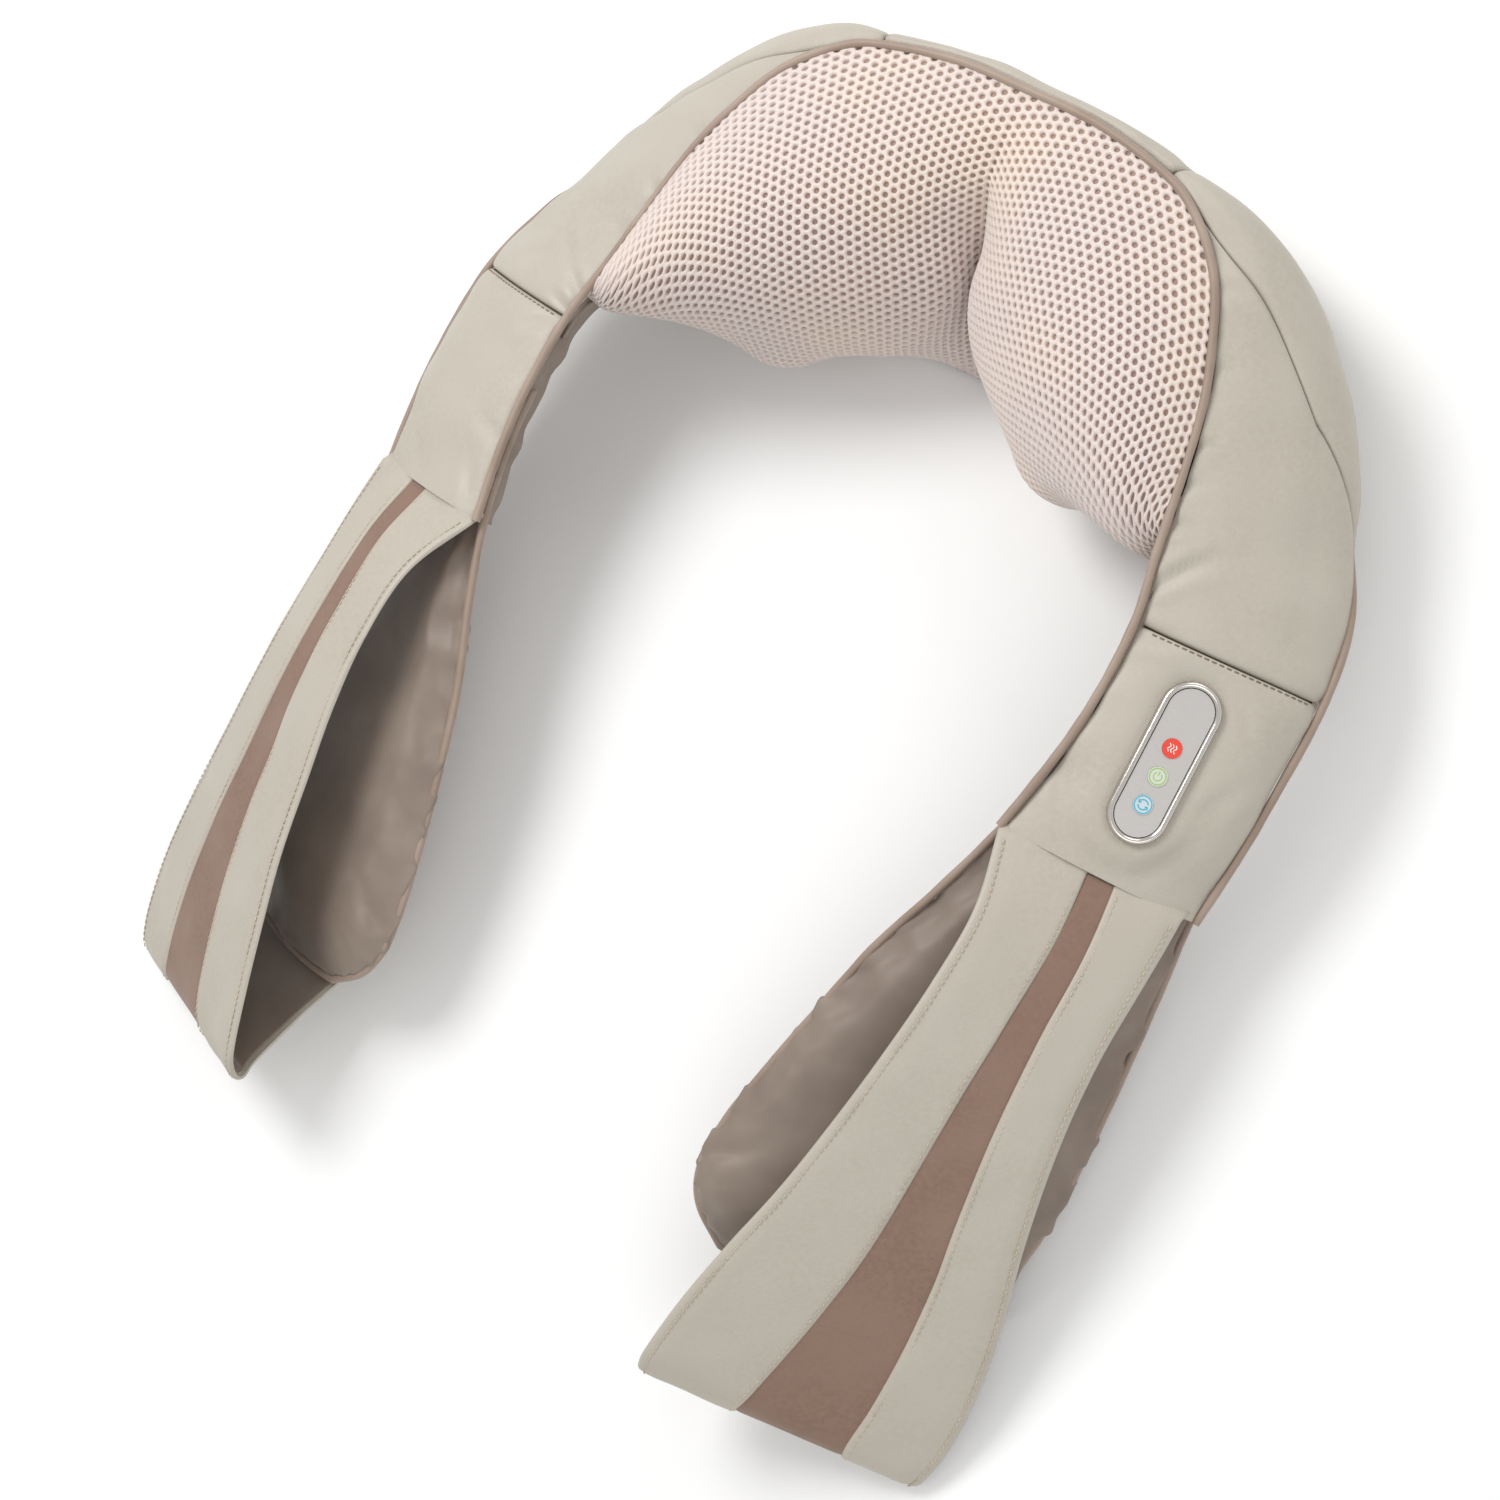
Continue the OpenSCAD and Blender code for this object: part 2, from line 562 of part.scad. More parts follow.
// The heads stand at each end of the rotor plate, which lies along this direction at rest
head_angle = 50;
module on_rotor(side) {
    on_slope() translate([side * rotor_x, rotor_t, 0])
        rotate([0, 0, side > 0 ? head_angle : 180 - head_angle]) children();
}
module rotor_plate(side) {
    hub_r = 22;
    end_r = 13;
    color(moulded) on_rotor(side) translate([0, 0, wheel_top]) difference() {
        linear_extrude(rotor_top - wheel_top) {
            circle(r = hub_r, $fn = 64);
            square([2 * orbit_r, 2 * end_r], center = true);
            for (x = [-orbit_r, orbit_r]) translate([x, 0]) circle(r = end_r, $fn = 64);
        }
        translate([0, 0, -5]) cylinder(r = post_r + run_gap, h = 20, $fn = 64);
    }
}
module head() {
    waist_r = head_r * 0.6;
    belly = head_h - head_r;
    rotate_extrude($fn = 64) polygon(concat(
        [[0, 0], [waist_r, 0], [waist_r + 1, belly * 0.35]],
        [for (a = [-25:11.5:90]) [max(head_r * cos(a), 0), belly + head_r * sin(a)]]));
}
module heads(side) {
    color(moulded) on_rotor(side) for (x = [-orbit_r, orbit_r]) translate([x, 0, rotor_top]) head();
}
module heat_lamp(side) {
    dome_r = 8;
    color("darkred") on_slope() translate([side * rotor_x, rotor_t, rotor_top + 0.3])
        rotate_extrude($fn = 48) polygon(concat(
            [[0, 0], [dome_r + 3, 0], [dome_r + 3, 2], [dome_r, 2]],
            [for (a = [0:15:90]) [max(dome_r * cos(a), 0), 4 + dome_r * sin(a)]]));
}

// ---------------------------------------------------------------- drive
motor_t = 80;
motor_w = -56;
motor_r = 13.5;
gearbox_x = [-30, 6];
module along_x(x, t, w) { on_slope() translate([x, t, w]) rotate([0, 90, 0]) children(); }
module gearbox() {
    len_x = gearbox_x[1] - gearbox_x[0];
    color([0.25, 0.26, 0.28]) difference() {
        union() {
            on_slope() translate([gearbox_x[0], 68, -47]) cube([len_x, 35, plate_low + 47]);
            on_slope() translate([gearbox_x[0], motor_t - 10, motor_w])
                cube([len_x, 20, plate_low - 4 - motor_w]);
            along_x(gearbox_x[0], motor_t, motor_w) cylinder(r = 12, h = len_x, $fn = 64);
        }
        on_slope() translate([-idler_x, rotor_t, plate_low - 14])
            cylinder(r = pin_r + run_gap, h = 30, $fn = 48);
    }
}
module motor() {
    color(steel) {
        along_x(gearbox_x[1], motor_t, motor_w) cylinder(r = motor_r, h = 48, $fn = 64);
        along_x(gearbox_x[1] + 48, motor_t, motor_w) cylinder(r = 5, h = 3, $fn = 48);
    }
}
module motor_clamp() {
    clamp_x = 36;
    clamp_w = 8;
    color(steel) difference() {
        union() {
            along_x(clamp_x, motor_t, motor_w) cylinder(r = motor_r + 2, h = clamp_w, $fn = 64);
            on_slope() translate([clamp_x, motor_t - motor_r - 2, motor_w])
                cube([clamp_w, 2 * motor_r + 4, plate_low - motor_w]);
        }
        along_x(clamp_x - 5, motor_t, motor_w) cylinder(r = motor_r + 0.05, h = clamp_w + 10, $fn = 64);
        on_slope() translate([clamp_x - 5, motor_t - motor_r - 0.05, motor_w])
            cube([clamp_w + 10, 2 * motor_r + 0.1, plate_low - motor_w + 5]);
    }
}
module main_board() {
    color("darkgreen") on_slope() {
        translate([62, 66, -38]) cube([30, 34, 1.6]);
        for (t = [70, 96]) translate([66, t, -36.4]) cylinder(r = 2, h = plate_low + 36.4, $fn = 24);
        for (x = [72, 82]) translate([x, 78, -46]) cylinder(r = 4, h = 8, $fn = 32);
        translate([70, 88, -41]) cube([14, 8, 3]);
    }
}

// ---------------------------------------------------------------- power inlet
inlet_r = 5.5;
inlet_flange_r = 7;
inlet_l = 18;
pin_l = 9;
module inlet_place() { in_rim() translate([-40, 4.5, -95]) rotate([-90, 0, 0]) children(); }
module power_inlet() {
    color([0.12, 0.12, 0.13]) inlet_place() {
        difference() {
            union() {
                translate([0, 0, -inlet_l]) cylinder(r = inlet_r, h = inlet_l, $fn = 64);
                translate([0, 0, -5.4]) cylinder(r = inlet_flange_r, h = 5.4, $fn = 64);
            }
            translate([0, 0, -pin_l - 1]) cylinder(r = jack_bore_r, h = pin_l + 5, $fn = 64);
        }
        translate([0, 0, -pin_l - 1.5]) cylinder(r = jack_pin_r, h = pin_l + 0.5, $fn = 48);
    }
}

// ---------------------------------------------------------------- control panel
// The panel lies on the right arm, facing outwards and up
module control_place() {
    in_rim() translate([184, -215, -5]) rotate([-5.7, 23, 0]) children();
}
module stadium(l, w) {
    square([w, l - w], center = true);
    for (y = [-1, 1]) translate([0, y * (l - w) / 2]) circle(w / 2, $fn = 64);
}
bezel_rim = 3;
face_l = bezel_l - 2 * bezel_rim;
face_w = bezel_w - 2 * bezel_rim;
module pocket(depth = 13) {
    translate([0, 0, -depth]) linear_extrude(depth + 27) stadium(bezel_l + 0.8, bezel_w + 0.8);
}
function button_y(n) = 6.5 - n * button_pitch;

module control_housing() {
    color(moulded) control_place() difference() {
        translate([0, 0, -12]) linear_extrude(10.8) stadium(face_l + 2, face_w + 2);
        translate([0, 0, -10.5]) linear_extrude(20) stadium(face_l - 1, face_w - 1);
    }
}
module control_bezel() {
    color("silver") control_place() translate([0, 0, -1.2]) difference() {
        union() {
            linear_extrude(2.6) stadium(bezel_l, bezel_w);
            translate([0, 0, 2.6]) linear_extrude(0.9) stadium(bezel_l - 1.6, bezel_w - 1.6);
        }
        translate([0, 0, -1]) linear_extrude(10) stadium(face_l + 0.4, face_w + 0.4);
    }
}
module control_face() {
    color("gainsboro") control_place() difference() {
        translate([0, 0, -1]) linear_extrude(2.4) stadium(face_l, face_w);
        for (n = [0:2]) translate([0, button_y(n), -5]) cylinder(r = button_r + run_gap, h = 20, $fn = 64);
    }
}
module control_board() {
    color("darkgreen") control_place() {
        translate([0, 0, -9.6]) linear_extrude(1.6) stadium(face_l - 4, face_w - 4);
        for (n = [0:2]) translate([0, button_y(n), -8.1]) cylinder(r = 2.5, h = 2.4, $fn = 32);
    }
}
module button(n) {
    control_place() translate([0, button_y(n), 0]) {
        translate([0, 0, -4.4]) cylinder(r = button_r, h = 6.2, $fn = 64);
        translate([0, 0, -4.4]) cylinder(r = button_r + 1, h = 1, $fn = 64);
    }
}

// ---------------------------------------------------------------- leads
lead_r = 1.6;
module control_lead() {
    color([0.15, 0.15, 0.16]) in_rim() bar([
        [174, -184, -14], [169, -172, -13.5], [162, -156, -14], [155, -132, -22], [149, -110, -38],
        [142, -92, -54], [133, -72, -70], [123, -56, -86], [114, -50, -92], [104, -50, -92], [94, -50, -92]
    ], lead_r, 8);
}
module inlet_lead() {
    color([0.15, 0.15, 0.16]) in_rim() bar([
        [-40, -14.5, -95], [-40, -22, -97], [-38, -32, -105], [-28, -36, -109], [0, -36, -109],
        [30, -36, -109], [56, -38, -107], [66, -42, -102], [72, -46, -97]
    ], lead_r, 8);
}

back_panel();
wedge_panel(-1);  // left_wedge_panel
wedge_panel(1);  // right_wedge_panel
shoulder_panel(-1);  // left_shoulder_panel
shoulder_panel(1);  // right_shoulder_panel
arm_panel(-1);  // left_arm_panel
arm_panel(1);  // right_arm_panel
pod_base();
under_panel(-1);  // left_under_panel
under_panel(1);  // right_under_panel
mesh_cover();
rim_piping();
shoulder_foam(-1);  // left_shoulder_foam
shoulder_foam(1);  // right_shoulder_foam
left_arm_foam();
right_arm_foam();
pad(-1);  // left_pad
pad(1);  // right_pad
pad_piping(-1);  // left_pad_piping
pad_piping(1);  // right_pad_piping
strap(-1);  // left_strap
strap(1);  // right_strap
strap_lining(-1);  // left_strap_lining
strap_lining(1);  // right_strap_lining
strap_stripe(-1);  // left_strap_stripe
strap_stripe(1);  // right_strap_stripe
rear_housing();
chassis_plate();
gearbox();
motor();
motor_clamp();
drive_pinion();
idler_gear();
idler_pin();
post(-1);  // left_post
post(1);  // right_post
wheel(-1);  // left_wheel
wheel(1);  // right_wheel
rotor_plate(-1);  // left_rotor_plate
rotor_plate(1);  // right_rotor_plate
heads(-1);  // left_heads
heads(1);  // right_heads
heat_lamp(-1);  // left_heat_lamp
heat_lamp(1);  // right_heat_lamp
chassis_screws();
main_board();
control_housing();
control_bezel();
control_face();
control_board();
color("firebrick") button(0);  // heat_button
color("palegreen") button(1);  // power_button
color("deepskyblue") button(2);  // direction_button
power_inlet();
control_lead();
inlet_lead();
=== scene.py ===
import json
import math

import bmesh
import bpy
import numpy as np
from mathutils import Matrix, Vector
from mathutils.bvhtree import BVHTree
from mathutils.geometry import barycentric_transform


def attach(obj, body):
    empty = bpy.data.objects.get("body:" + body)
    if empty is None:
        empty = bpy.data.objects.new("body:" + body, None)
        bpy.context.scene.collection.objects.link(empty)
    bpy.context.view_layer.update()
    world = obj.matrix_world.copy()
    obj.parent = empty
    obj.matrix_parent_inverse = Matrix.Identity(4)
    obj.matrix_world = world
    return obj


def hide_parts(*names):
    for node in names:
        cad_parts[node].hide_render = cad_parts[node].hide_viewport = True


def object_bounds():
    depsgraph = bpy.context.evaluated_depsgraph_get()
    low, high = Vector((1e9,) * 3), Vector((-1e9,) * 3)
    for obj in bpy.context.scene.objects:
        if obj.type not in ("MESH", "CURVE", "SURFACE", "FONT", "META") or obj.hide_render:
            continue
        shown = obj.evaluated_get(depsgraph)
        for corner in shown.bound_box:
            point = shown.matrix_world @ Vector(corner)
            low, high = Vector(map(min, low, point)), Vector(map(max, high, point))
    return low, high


# The shiatsu neck massager's looks, built round its CAD frame. Shapes are worked out in the
# rim frame, in millimetres: origin at the middle of the back rim, X across, Y to the back of
# the neck and Z square to the rim. row() turns them into the row frame, in metres.
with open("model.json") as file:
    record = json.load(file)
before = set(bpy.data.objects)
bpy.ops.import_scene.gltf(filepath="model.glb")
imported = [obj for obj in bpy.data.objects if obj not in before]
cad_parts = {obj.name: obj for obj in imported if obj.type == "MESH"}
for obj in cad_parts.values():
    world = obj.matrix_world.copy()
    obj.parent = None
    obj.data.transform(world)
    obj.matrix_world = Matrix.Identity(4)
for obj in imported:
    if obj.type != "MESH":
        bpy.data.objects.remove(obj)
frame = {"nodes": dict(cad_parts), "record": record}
cad_low, cad_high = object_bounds()

MM = 0.001
RIM_TILT = math.radians(8.5)
RIM_HEIGHT = 121
RIM_BACK = 256.3
POD_SLOPE = math.radians(42)
PIPING_R = 1.9
SIDES = {"left": -1, "right": 1}

# ---------------------------------------------------------------- outlines
# One row per station along the right half, from the middle of the back to the strap seam:
# inner rim, outer edge, outer foot, inner foot
COLLAR = np.array([
    [[0, 0, 0], [0, 5, -6], [0, 4, -121], [0, -112, -103]],
    [[36, -1, 0], [36, 4, -6], [37, 3, -121], [36, -113, -103]],
    [[71, -8, 0], [74, -1, -9], [75, -2, -120], [70, -114, -103]],
    [[88, -16, 0], [100, -5, -17], [100, -12, -116], [88, -116, -100]],
    [[104, -30, 0], [124, -14, -26], [122, -28, -106], [102, -118, -94]],
    [[115, -46, 0], [147, -31, -34], [143, -46, -94], [113, -122, -85]],
    [[128, -76, 0], [176, -66, -40], [170, -74, -79], [125, -130, -66]],
    [[135, -104, 0], [194, -102, -41], [188, -104, -70], [133, -138, -47]],
    [[142, -142, 1], [209, -136, -38], [204, -138, -62], [142, -150, -28]],
    [[148, -171, 2], [216, -167, -30], [212, -169, -54], [149, -172, -22]],
    [[149, -206, 4], [217, -204, -25], [214, -206, -49], [150, -206, -19]],
    [[146, -236, 6], [216, -236, -24], [214, -236, -47], [147, -236, -16]],
    [[140, -268, 8], [213, -268, -24], [212, -268, -46], [141, -268, -13]],
], float)
RIM, EDGE, FOOT, INNER_FOOT = range(4)
SEAM_A, SEAM_B, SEAM_B_OUT, MESH_END, SEAM_SHOULDER, SEAM_STRAP = 2, 3, 6, 8, 9, 12

# Inner and outer edge of the right pad, from the mesh end to the rounded end
PAD = np.array([
    [[144, -154, -10], [204, -144, -62]],
    [[149, -172, -5], [210, -169, -57]],
    [[150, -206, -3], [212, -206, -52]],
    [[147, -236, 0], [212, -236, -50]],
    [[140, -268, 2], [212, -268, -49]],
    [[128, -304, 2], [216, -304, -47]],
    [[115, -338, 1], [219, -338, -46]],
    [[106, -372, 0], [221, -372, -46]],
    [[98, -405, 0], [221, -405, -47]],
    [[92, -435, 0], [218, -435, -47]],
    [[91, -456, -1], [209, -456, -46]],
    [[97, -472, -4], [194, -472, -42]],
    [[112, -484, -10], [168, -484, -31]],
], float)

# Inner and outer edge of the right strap, from the arm over the pad, round the fold and back
STRAP = np.array([
    [[140, -269, 8], [213, -269, -23]],
    [[151, -300, 21], [215, -303, -16]],
    [[152, -334, 28], [217, -340, -11]],
    [[149, -368, 31], [220, -377, -11]],
    [[144, -402, 32], [225, -416, -17]],
    [[138, -436, 34], [231, -452, -25]],
    [[130, -468, 35], [234, -485, -31]],
    [[123, -498, 34], [233, -510, -35]],
    [[118, -524, 30], [230, -525, -37]],
    [[116, -534, 24], [228, -530, -39]],
    [[116, -536, 17], [226, -530, -41]],
    [[118, -529, 10], [222, -525, -42]],
    [[115, -506, -2], [206, -506, -43]],
    [[112, -486, -15], [186, -486, -43]],
], float)
STRAP_FOLD = 9


# ---------------------------------------------------------------- frames and curves
def row(points):
    """Points of the rim frame in mm as points of the row frame in metres."""
    p = np.asarray(points, float)
    c, s = math.cos(RIM_TILT), math.sin(RIM_TILT)
    y = p[..., 1] * c - p[..., 2] * s + RIM_BACK
    z = p[..., 1] * s + p[..., 2] * c + RIM_HEIGHT
    return np.stack([p[..., 0], y, z], -1) * MM


def slope(points):
    """Points (x, down the front slope, out of it) as points of the rim frame."""
    p = np.asarray(points, float)
    c, s = math.cos(POD_SLOPE), math.sin(POD_SLOPE)
    return np.stack([p[..., 0], -p[..., 1] * c - p[..., 2] * s, -p[..., 1] * s + p[..., 2] * c], -1)


# The same turn taken twice leads back, so it also takes rim points to the slope
to_slope = slope


def unit(v):
    return v / np.maximum(np.linalg.norm(v, axis=-1, keepdims=True), 1e-9)


def smooth_step(x):
    x = np.clip(x, 0, 1)
    return x * x * (3 - 2 * x)


def curve(table, stations, before=None):
    """Points on a smooth curve through the rows of a table, at whole or part stations."""
    first = 2 * table[0] - table[1] if before is None else before
    padded = np.concatenate([[first], table, [2 * table[-1] - table[-2]]])
    s = np.clip(np.asarray(stations, float), 0, len(table) - 1)
    i = np.minimum(s.astype(int), len(table) - 2)
    f = (s - i).reshape(s.shape + (1,) * (table.ndim - 1))
    a, b, c, d = padded[i], padded[i + 1], padded[i + 2], padded[i + 3]
    return 0.5 * (2 * b + (c - a) * f + (2 * a - 5 * b + 4 * c - d) * f ** 2
                  + (3 * b - a - 3 * c + d) * f ** 3)


def collar(stations):
    """The four outlines at stations; negative stations are on the left."""
    s = np.asarray(stations, float)
    points = curve(COLLAR, np.abs(s), before=COLLAR[1] * [-1, 1, 1])
    points[..., 0] *= np.where(s < 0, -1, 1)[..., None]
    return points


def clustered(count, ends, length):
    """Shares from 0 to 1 along a length in mm, with extra rows at the given mm from each end."""
    near = [e / length for e in ends if e < length / 2]
    middle = np.linspace(near[-1], 1 - near[-1], count)[1:-1]
    return np.array(sorted(near + list(middle) + [1 - e for e in near]))


EDGE_ROWS = [0, 0.5, 1, 1.6, 2.4, 3.6, 5.2]


def waves(points, length, seed):
    """Smooth wandering numbers of about 1, from points in mm."""
    rng = np.random.default_rng(seed)
    total = np.zeros(points.shape[:-1])
    for _ in range(7):
        way = unit(rng.normal(size=3)) * 2 * math.pi / (length * rng.uniform(0.7, 1.5))
        total += np.sin(points @ way + rng.uniform(0, 6.28))
    return total / math.sqrt(7)


def grid_normals(grid):
    along = np.gradient(grid, axis=0)
    across = np.gradient(grid, axis=1)
    return unit(np.cross(along, across))


def lengths(grid, axis):
    """Distance from the first row or column, in mm."""
    step = np.linalg.norm(np.diff(grid, axis=axis), axis=-1)
    start = np.zeros_like(np.take(step, [0], axis=axis))
    return np.concatenate([start, np.cumsum(step, axis=axis)], axis=axis)


# ---------------------------------------------------------------- mesh helpers
def add_mesh(name, verts, faces, material, sharp=50):
    """A new object from points of the row frame in metres. Nothing sinks below the ground."""
    verts = np.array(verts, float)
    verts[:, 2] = np.maximum(verts[:, 2], 0)
    mesh = bpy.data.meshes.new(name)
    mesh.from_pydata([tuple(v) for v in verts], [], [tuple(int(i) for i in f) for f in faces])
    mesh.validate()
    fix_normals(mesh)
    mesh.shade_smooth()
    if sharp:
        mesh.set_sharp_from_angle(angle=math.radians(sharp))
    mesh.materials.append(material)
    obj = bpy.data.objects.new(name, mesh)
    bpy.context.scene.collection.objects.link(obj)
    return obj


def fix_normals(mesh):
    bm = bmesh.new()
    bm.from_mesh(mesh)
    bmesh.ops.recalc_face_normals(bm, faces=bm.faces)
    bm.to_mesh(mesh)
    bm.free()


def grid_faces(n, m):
    i, j = np.meshgrid(np.arange(n - 1), np.arange(m - 1), indexing="ij")
    p = (i * m + j).ravel()
    return np.stack([p, p + 1, p + m + 1, p + m], -1)


def solid_faces(n, m, keep=None):
    """Faces of a closed solid between two grids of n by m points. keep marks the cells that stay."""
    cells = grid_faces(n, m)
    ring = (list(range(m)) + [i * m + m - 1 for i in range(1, n)]
            + [(n - 1) * m + j for j in range(m - 2, -1, -1)] + [i * m for i in range(n - 2, 0, -1)])
    base = n * m
    sides = [(a, b, b + base, a + base) for a, b in zip(ring, ring[1:] + ring[:1])]
    if keep is not None:
        cells = cells[keep.ravel()]
    return [tuple(c) for c in cells] + [tuple(c + base)[::-1] for c in cells] + sides


def slab(name, top, bottom, material, keep=None, sharp=50):
    """A closed solid between two grids. keep marks the cells that stay."""
    verts = np.concatenate([row(top).reshape(-1, 3), row(bottom).reshape(-1, 3)])
    return add_mesh(name, verts, solid_faces(*top.shape[:2], keep), material, sharp)


def tube(name, path, radius, material, sides=12, closed=False):
    """A round bar along points of the rim frame. radius is a number or one per point."""
    path = np.asarray(path, float)
    n = len(path)
    if closed:
        tangent = unit(np.roll(path, -1, 0) - np.roll(path, 1, 0))
    else:
        tangent = unit(np.gradient(path, axis=0))
    radius = np.broadcast_to(radius, (n,))
    up = np.array([0, 0, 1.0]) if abs(tangent[0][2]) < 0.9 else np.array([1.0, 0, 0])
    rings = []
    for p, t, r in zip(path, tangent, radius):
        side = unit(np.cross(t, up))
        up = np.cross(side, t)
        angles = np.arange(sides) * 2 * math.pi / sides
        rings.append(p + r * (np.cos(angles)[:, None] * side + np.sin(angles)[:, None] * up))
    verts = row(np.concatenate(rings))
    faces = []
    for i in range(n if closed else n - 1):
        for k in range(sides):
            a, b = i * sides + k, i * sides + (k + 1) % sides
            c, d = ((i + 1) % n) * sides + (k + 1) % sides, ((i + 1) % n) * sides + k
            faces.append((a, b, c, d))
    if not closed:
        faces += [tuple(range(sides))[::-1], tuple((n - 1) * sides + k for k in range(sides))]
    return add_mesh(name, verts, faces, material, sharp=60)


def resample(path, step):
    """Points at even steps along a path, with their distances."""
    path = np.asarray(path, float)
    d = np.concatenate([[0], np.cumsum(np.linalg.norm(np.diff(path, axis=0), axis=1))])
    count = max(int(round(d[-1] / step)), 1)
    at = np.linspace(0, d[-1], count + 1)
    return np.stack([np.interp(at, d, path[:, k]) for k in range(3)], -1), at


def stitches(name, runs, material, pitch=3.0, length=2.2, width=0.75, sink=0.2):
    """Rows of thread stitches. Each run is a path and the surface normals along it, in the rim frame."""
    verts, faces = [], []
    ring = [(-1, 0, 0), (-0.8, 0.8, 0), (0.8, 0.8, 0), (1, 0, 0), (0.8, -0.8, 0), (-0.8, -0.8, 0)]
    for path, normals in runs:
        points, at = resample(path, pitch)
        d = np.concatenate([[0], np.cumsum(np.linalg.norm(np.diff(path, axis=0), axis=1))])
        ups = unit(np.stack([np.interp(at, d, normals[:, k]) for k in range(3)], -1))
        along = unit(np.gradient(points, axis=0))
        across = unit(np.cross(along, ups))
        for p, a, s, u in list(zip(points, along, across, ups))[:-1]:
            middle = p + a * pitch / 2
            base = len(verts)
            for h, share in ((-sink, 1), (0.18, 0.95), (0.3, 0.6)):
                for x, y, _ in ring:
                    verts.append(middle + a * x * share * length / 2 + s * y * share * width / 2 + u * h)
            for k in range(6):
                n = (k + 1) % 6
                faces.append((base + k, base + n, base + 6 + n, base + 6 + k))
                faces.append((base + 6 + k, base + 6 + n, base + 12 + n, base + 12 + k))
            faces.append(tuple(base + 12 + k for k in range(6)))
            faces.append(tuple(base + k for k in range(6))[::-1])
    return add_mesh(name, row(np.array(verts)), faces, material, sharp=0)


def settle(obj, body="collar", replaces=()):
    """Rides a piece on its body and hides the CAD nodes that it stands for."""
    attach(obj, body)
    if replaces:
        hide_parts(*replaces)
    return obj


# ---------------------------------------------------------------- materials
def linear(r, g, b):
    """A linear colour from its display values."""
    def one(v):
        v = v / 255
        return v / 12.92 if v <= 0.04045 else ((v + 0.055) / 1.055) ** 2.4
    return (one(r), one(g), one(b), 1)


SOCKETS = {
    "specular": "Specular IOR Level", "sheen": "Sheen Weight", "sheen_roughness": "Sheen Roughness",
    "coat": "Coat Weight", "from_min": "From Min", "from_max": "From Max", "to_min": "To Min",
    "to_max": "To Max", "mortar_size": "Mortar Size",
}


class Look:
    """A procedural material. Textures read the object's own coordinates, in metres."""

    def __init__(self, name, roughness=0.5, **sockets):
        self.material = bpy.data.materials.new(name)
        self.material.use_nodes = True
        self.tree = self.material.node_tree
        self.shader = self.tree.nodes["Principled BSDF"]
        self.coordinates = self.add("ShaderNodeTexCoord").outputs["Object"]
        self.height = None
        self.shader.inputs["Roughness"].default_value = roughness
        for socket, value in sockets.items():
            self.shader.inputs[SOCKETS.get(socket, socket.title())].default_value = value

    def add(self, kind, **inputs):
        node = self.tree.nodes.new(kind)
        for socket, value in inputs.items():
            node.inputs[SOCKETS.get(socket, socket.title())].default_value = value
        return node

    def link(self, source, target):
        self.tree.links.new(source, target)

    def noise(self, scale, detail=3, stretch=None):
        node = self.add("ShaderNodeTexNoise", scale=scale, detail=detail)
        self.link(self.stretched(stretch) if stretch else self.coordinates, node.inputs["Vector"])
        return node.outputs["Fac"]

    def stretched(self, factors):
        node = self.add("ShaderNodeMapping", scale=factors)
        self.link(self.coordinates, node.inputs["Vector"])
        return node.outputs["Vector"]

    def cells(self, scale):
        node = self.add("ShaderNodeTexVoronoi", scale=scale)
        self.link(self.coordinates, node.inputs["Vector"])
        return node.outputs["Distance"]

    def weave(self, scale, direction):
        node = self.add("ShaderNodeTexWave", scale=scale, detail=1)
        node.bands_direction = direction
        self.link(self.coordinates, node.inputs["Vector"])
        return node.outputs["Fac"]

    def spread(self, source, low, high, to_low=0.0, to_high=1.0):
        node = self.add("ShaderNodeMapRange", from_min=low, from_max=high, to_min=to_low, to_max=to_high)
        self.link(source, node.inputs["Value"])
        return node.outputs["Result"]

    def blend(self, share, first, second):
        """A mix of two colours, each a socket or display values."""
        node = self.tree.nodes.new("ShaderNodeMix")
        node.data_type = "RGBA"
        for socket, value in ((node.inputs[6], first), (node.inputs[7], second)):
            if isinstance(value, bpy.types.NodeSocket):
                self.link(value, socket)
            else:
                socket.default_value = linear(*value)
        self.link(share, node.inputs[0])
        return node.outputs[2]

    def colour(self, source):
        self.link(source, self.shader.inputs["Base Color"])
        return self

    def roughness(self, source, low, high):
        self.link(self.spread(source, 0.3, 0.7, low, high), self.shader.inputs["Roughness"])
        return self

    def bump(self, source, distance, strength=1.0):
        node = self.add("ShaderNodeBump", strength=strength, distance=distance)
        self.link(source, node.inputs["Height"])
        if self.height is not None:
            self.link(self.height, node.inputs["Normal"])
        self.height = node.outputs["Normal"]
        self.link(self.height, self.shader.inputs["Normal"])
        return self


def leather_look(name, light, dark, roughness=(0.42, 0.56)):
    """Soft coated leather with a fine pebbled grain and long shallow creases."""
    look = Look(name, specular=0.42)
    tone = look.noise(26, 4)
    fine = look.noise(420, 2)
    tones = look.blend(look.spread(tone, 0.35, 0.65), light, dark)
    look.colour(look.blend(look.spread(fine, 0.35, 0.7), tones, light))
    look.roughness(tone, *roughness)
    look.bump(look.cells(950), 0.00009, 0.8)
    look.bump(look.noise(1500, 2), 0.00006, 0.7)
    look.bump(look.noise(60, 3, (1, 1.8, 1)), 0.0004, 0.35)
    return look.material


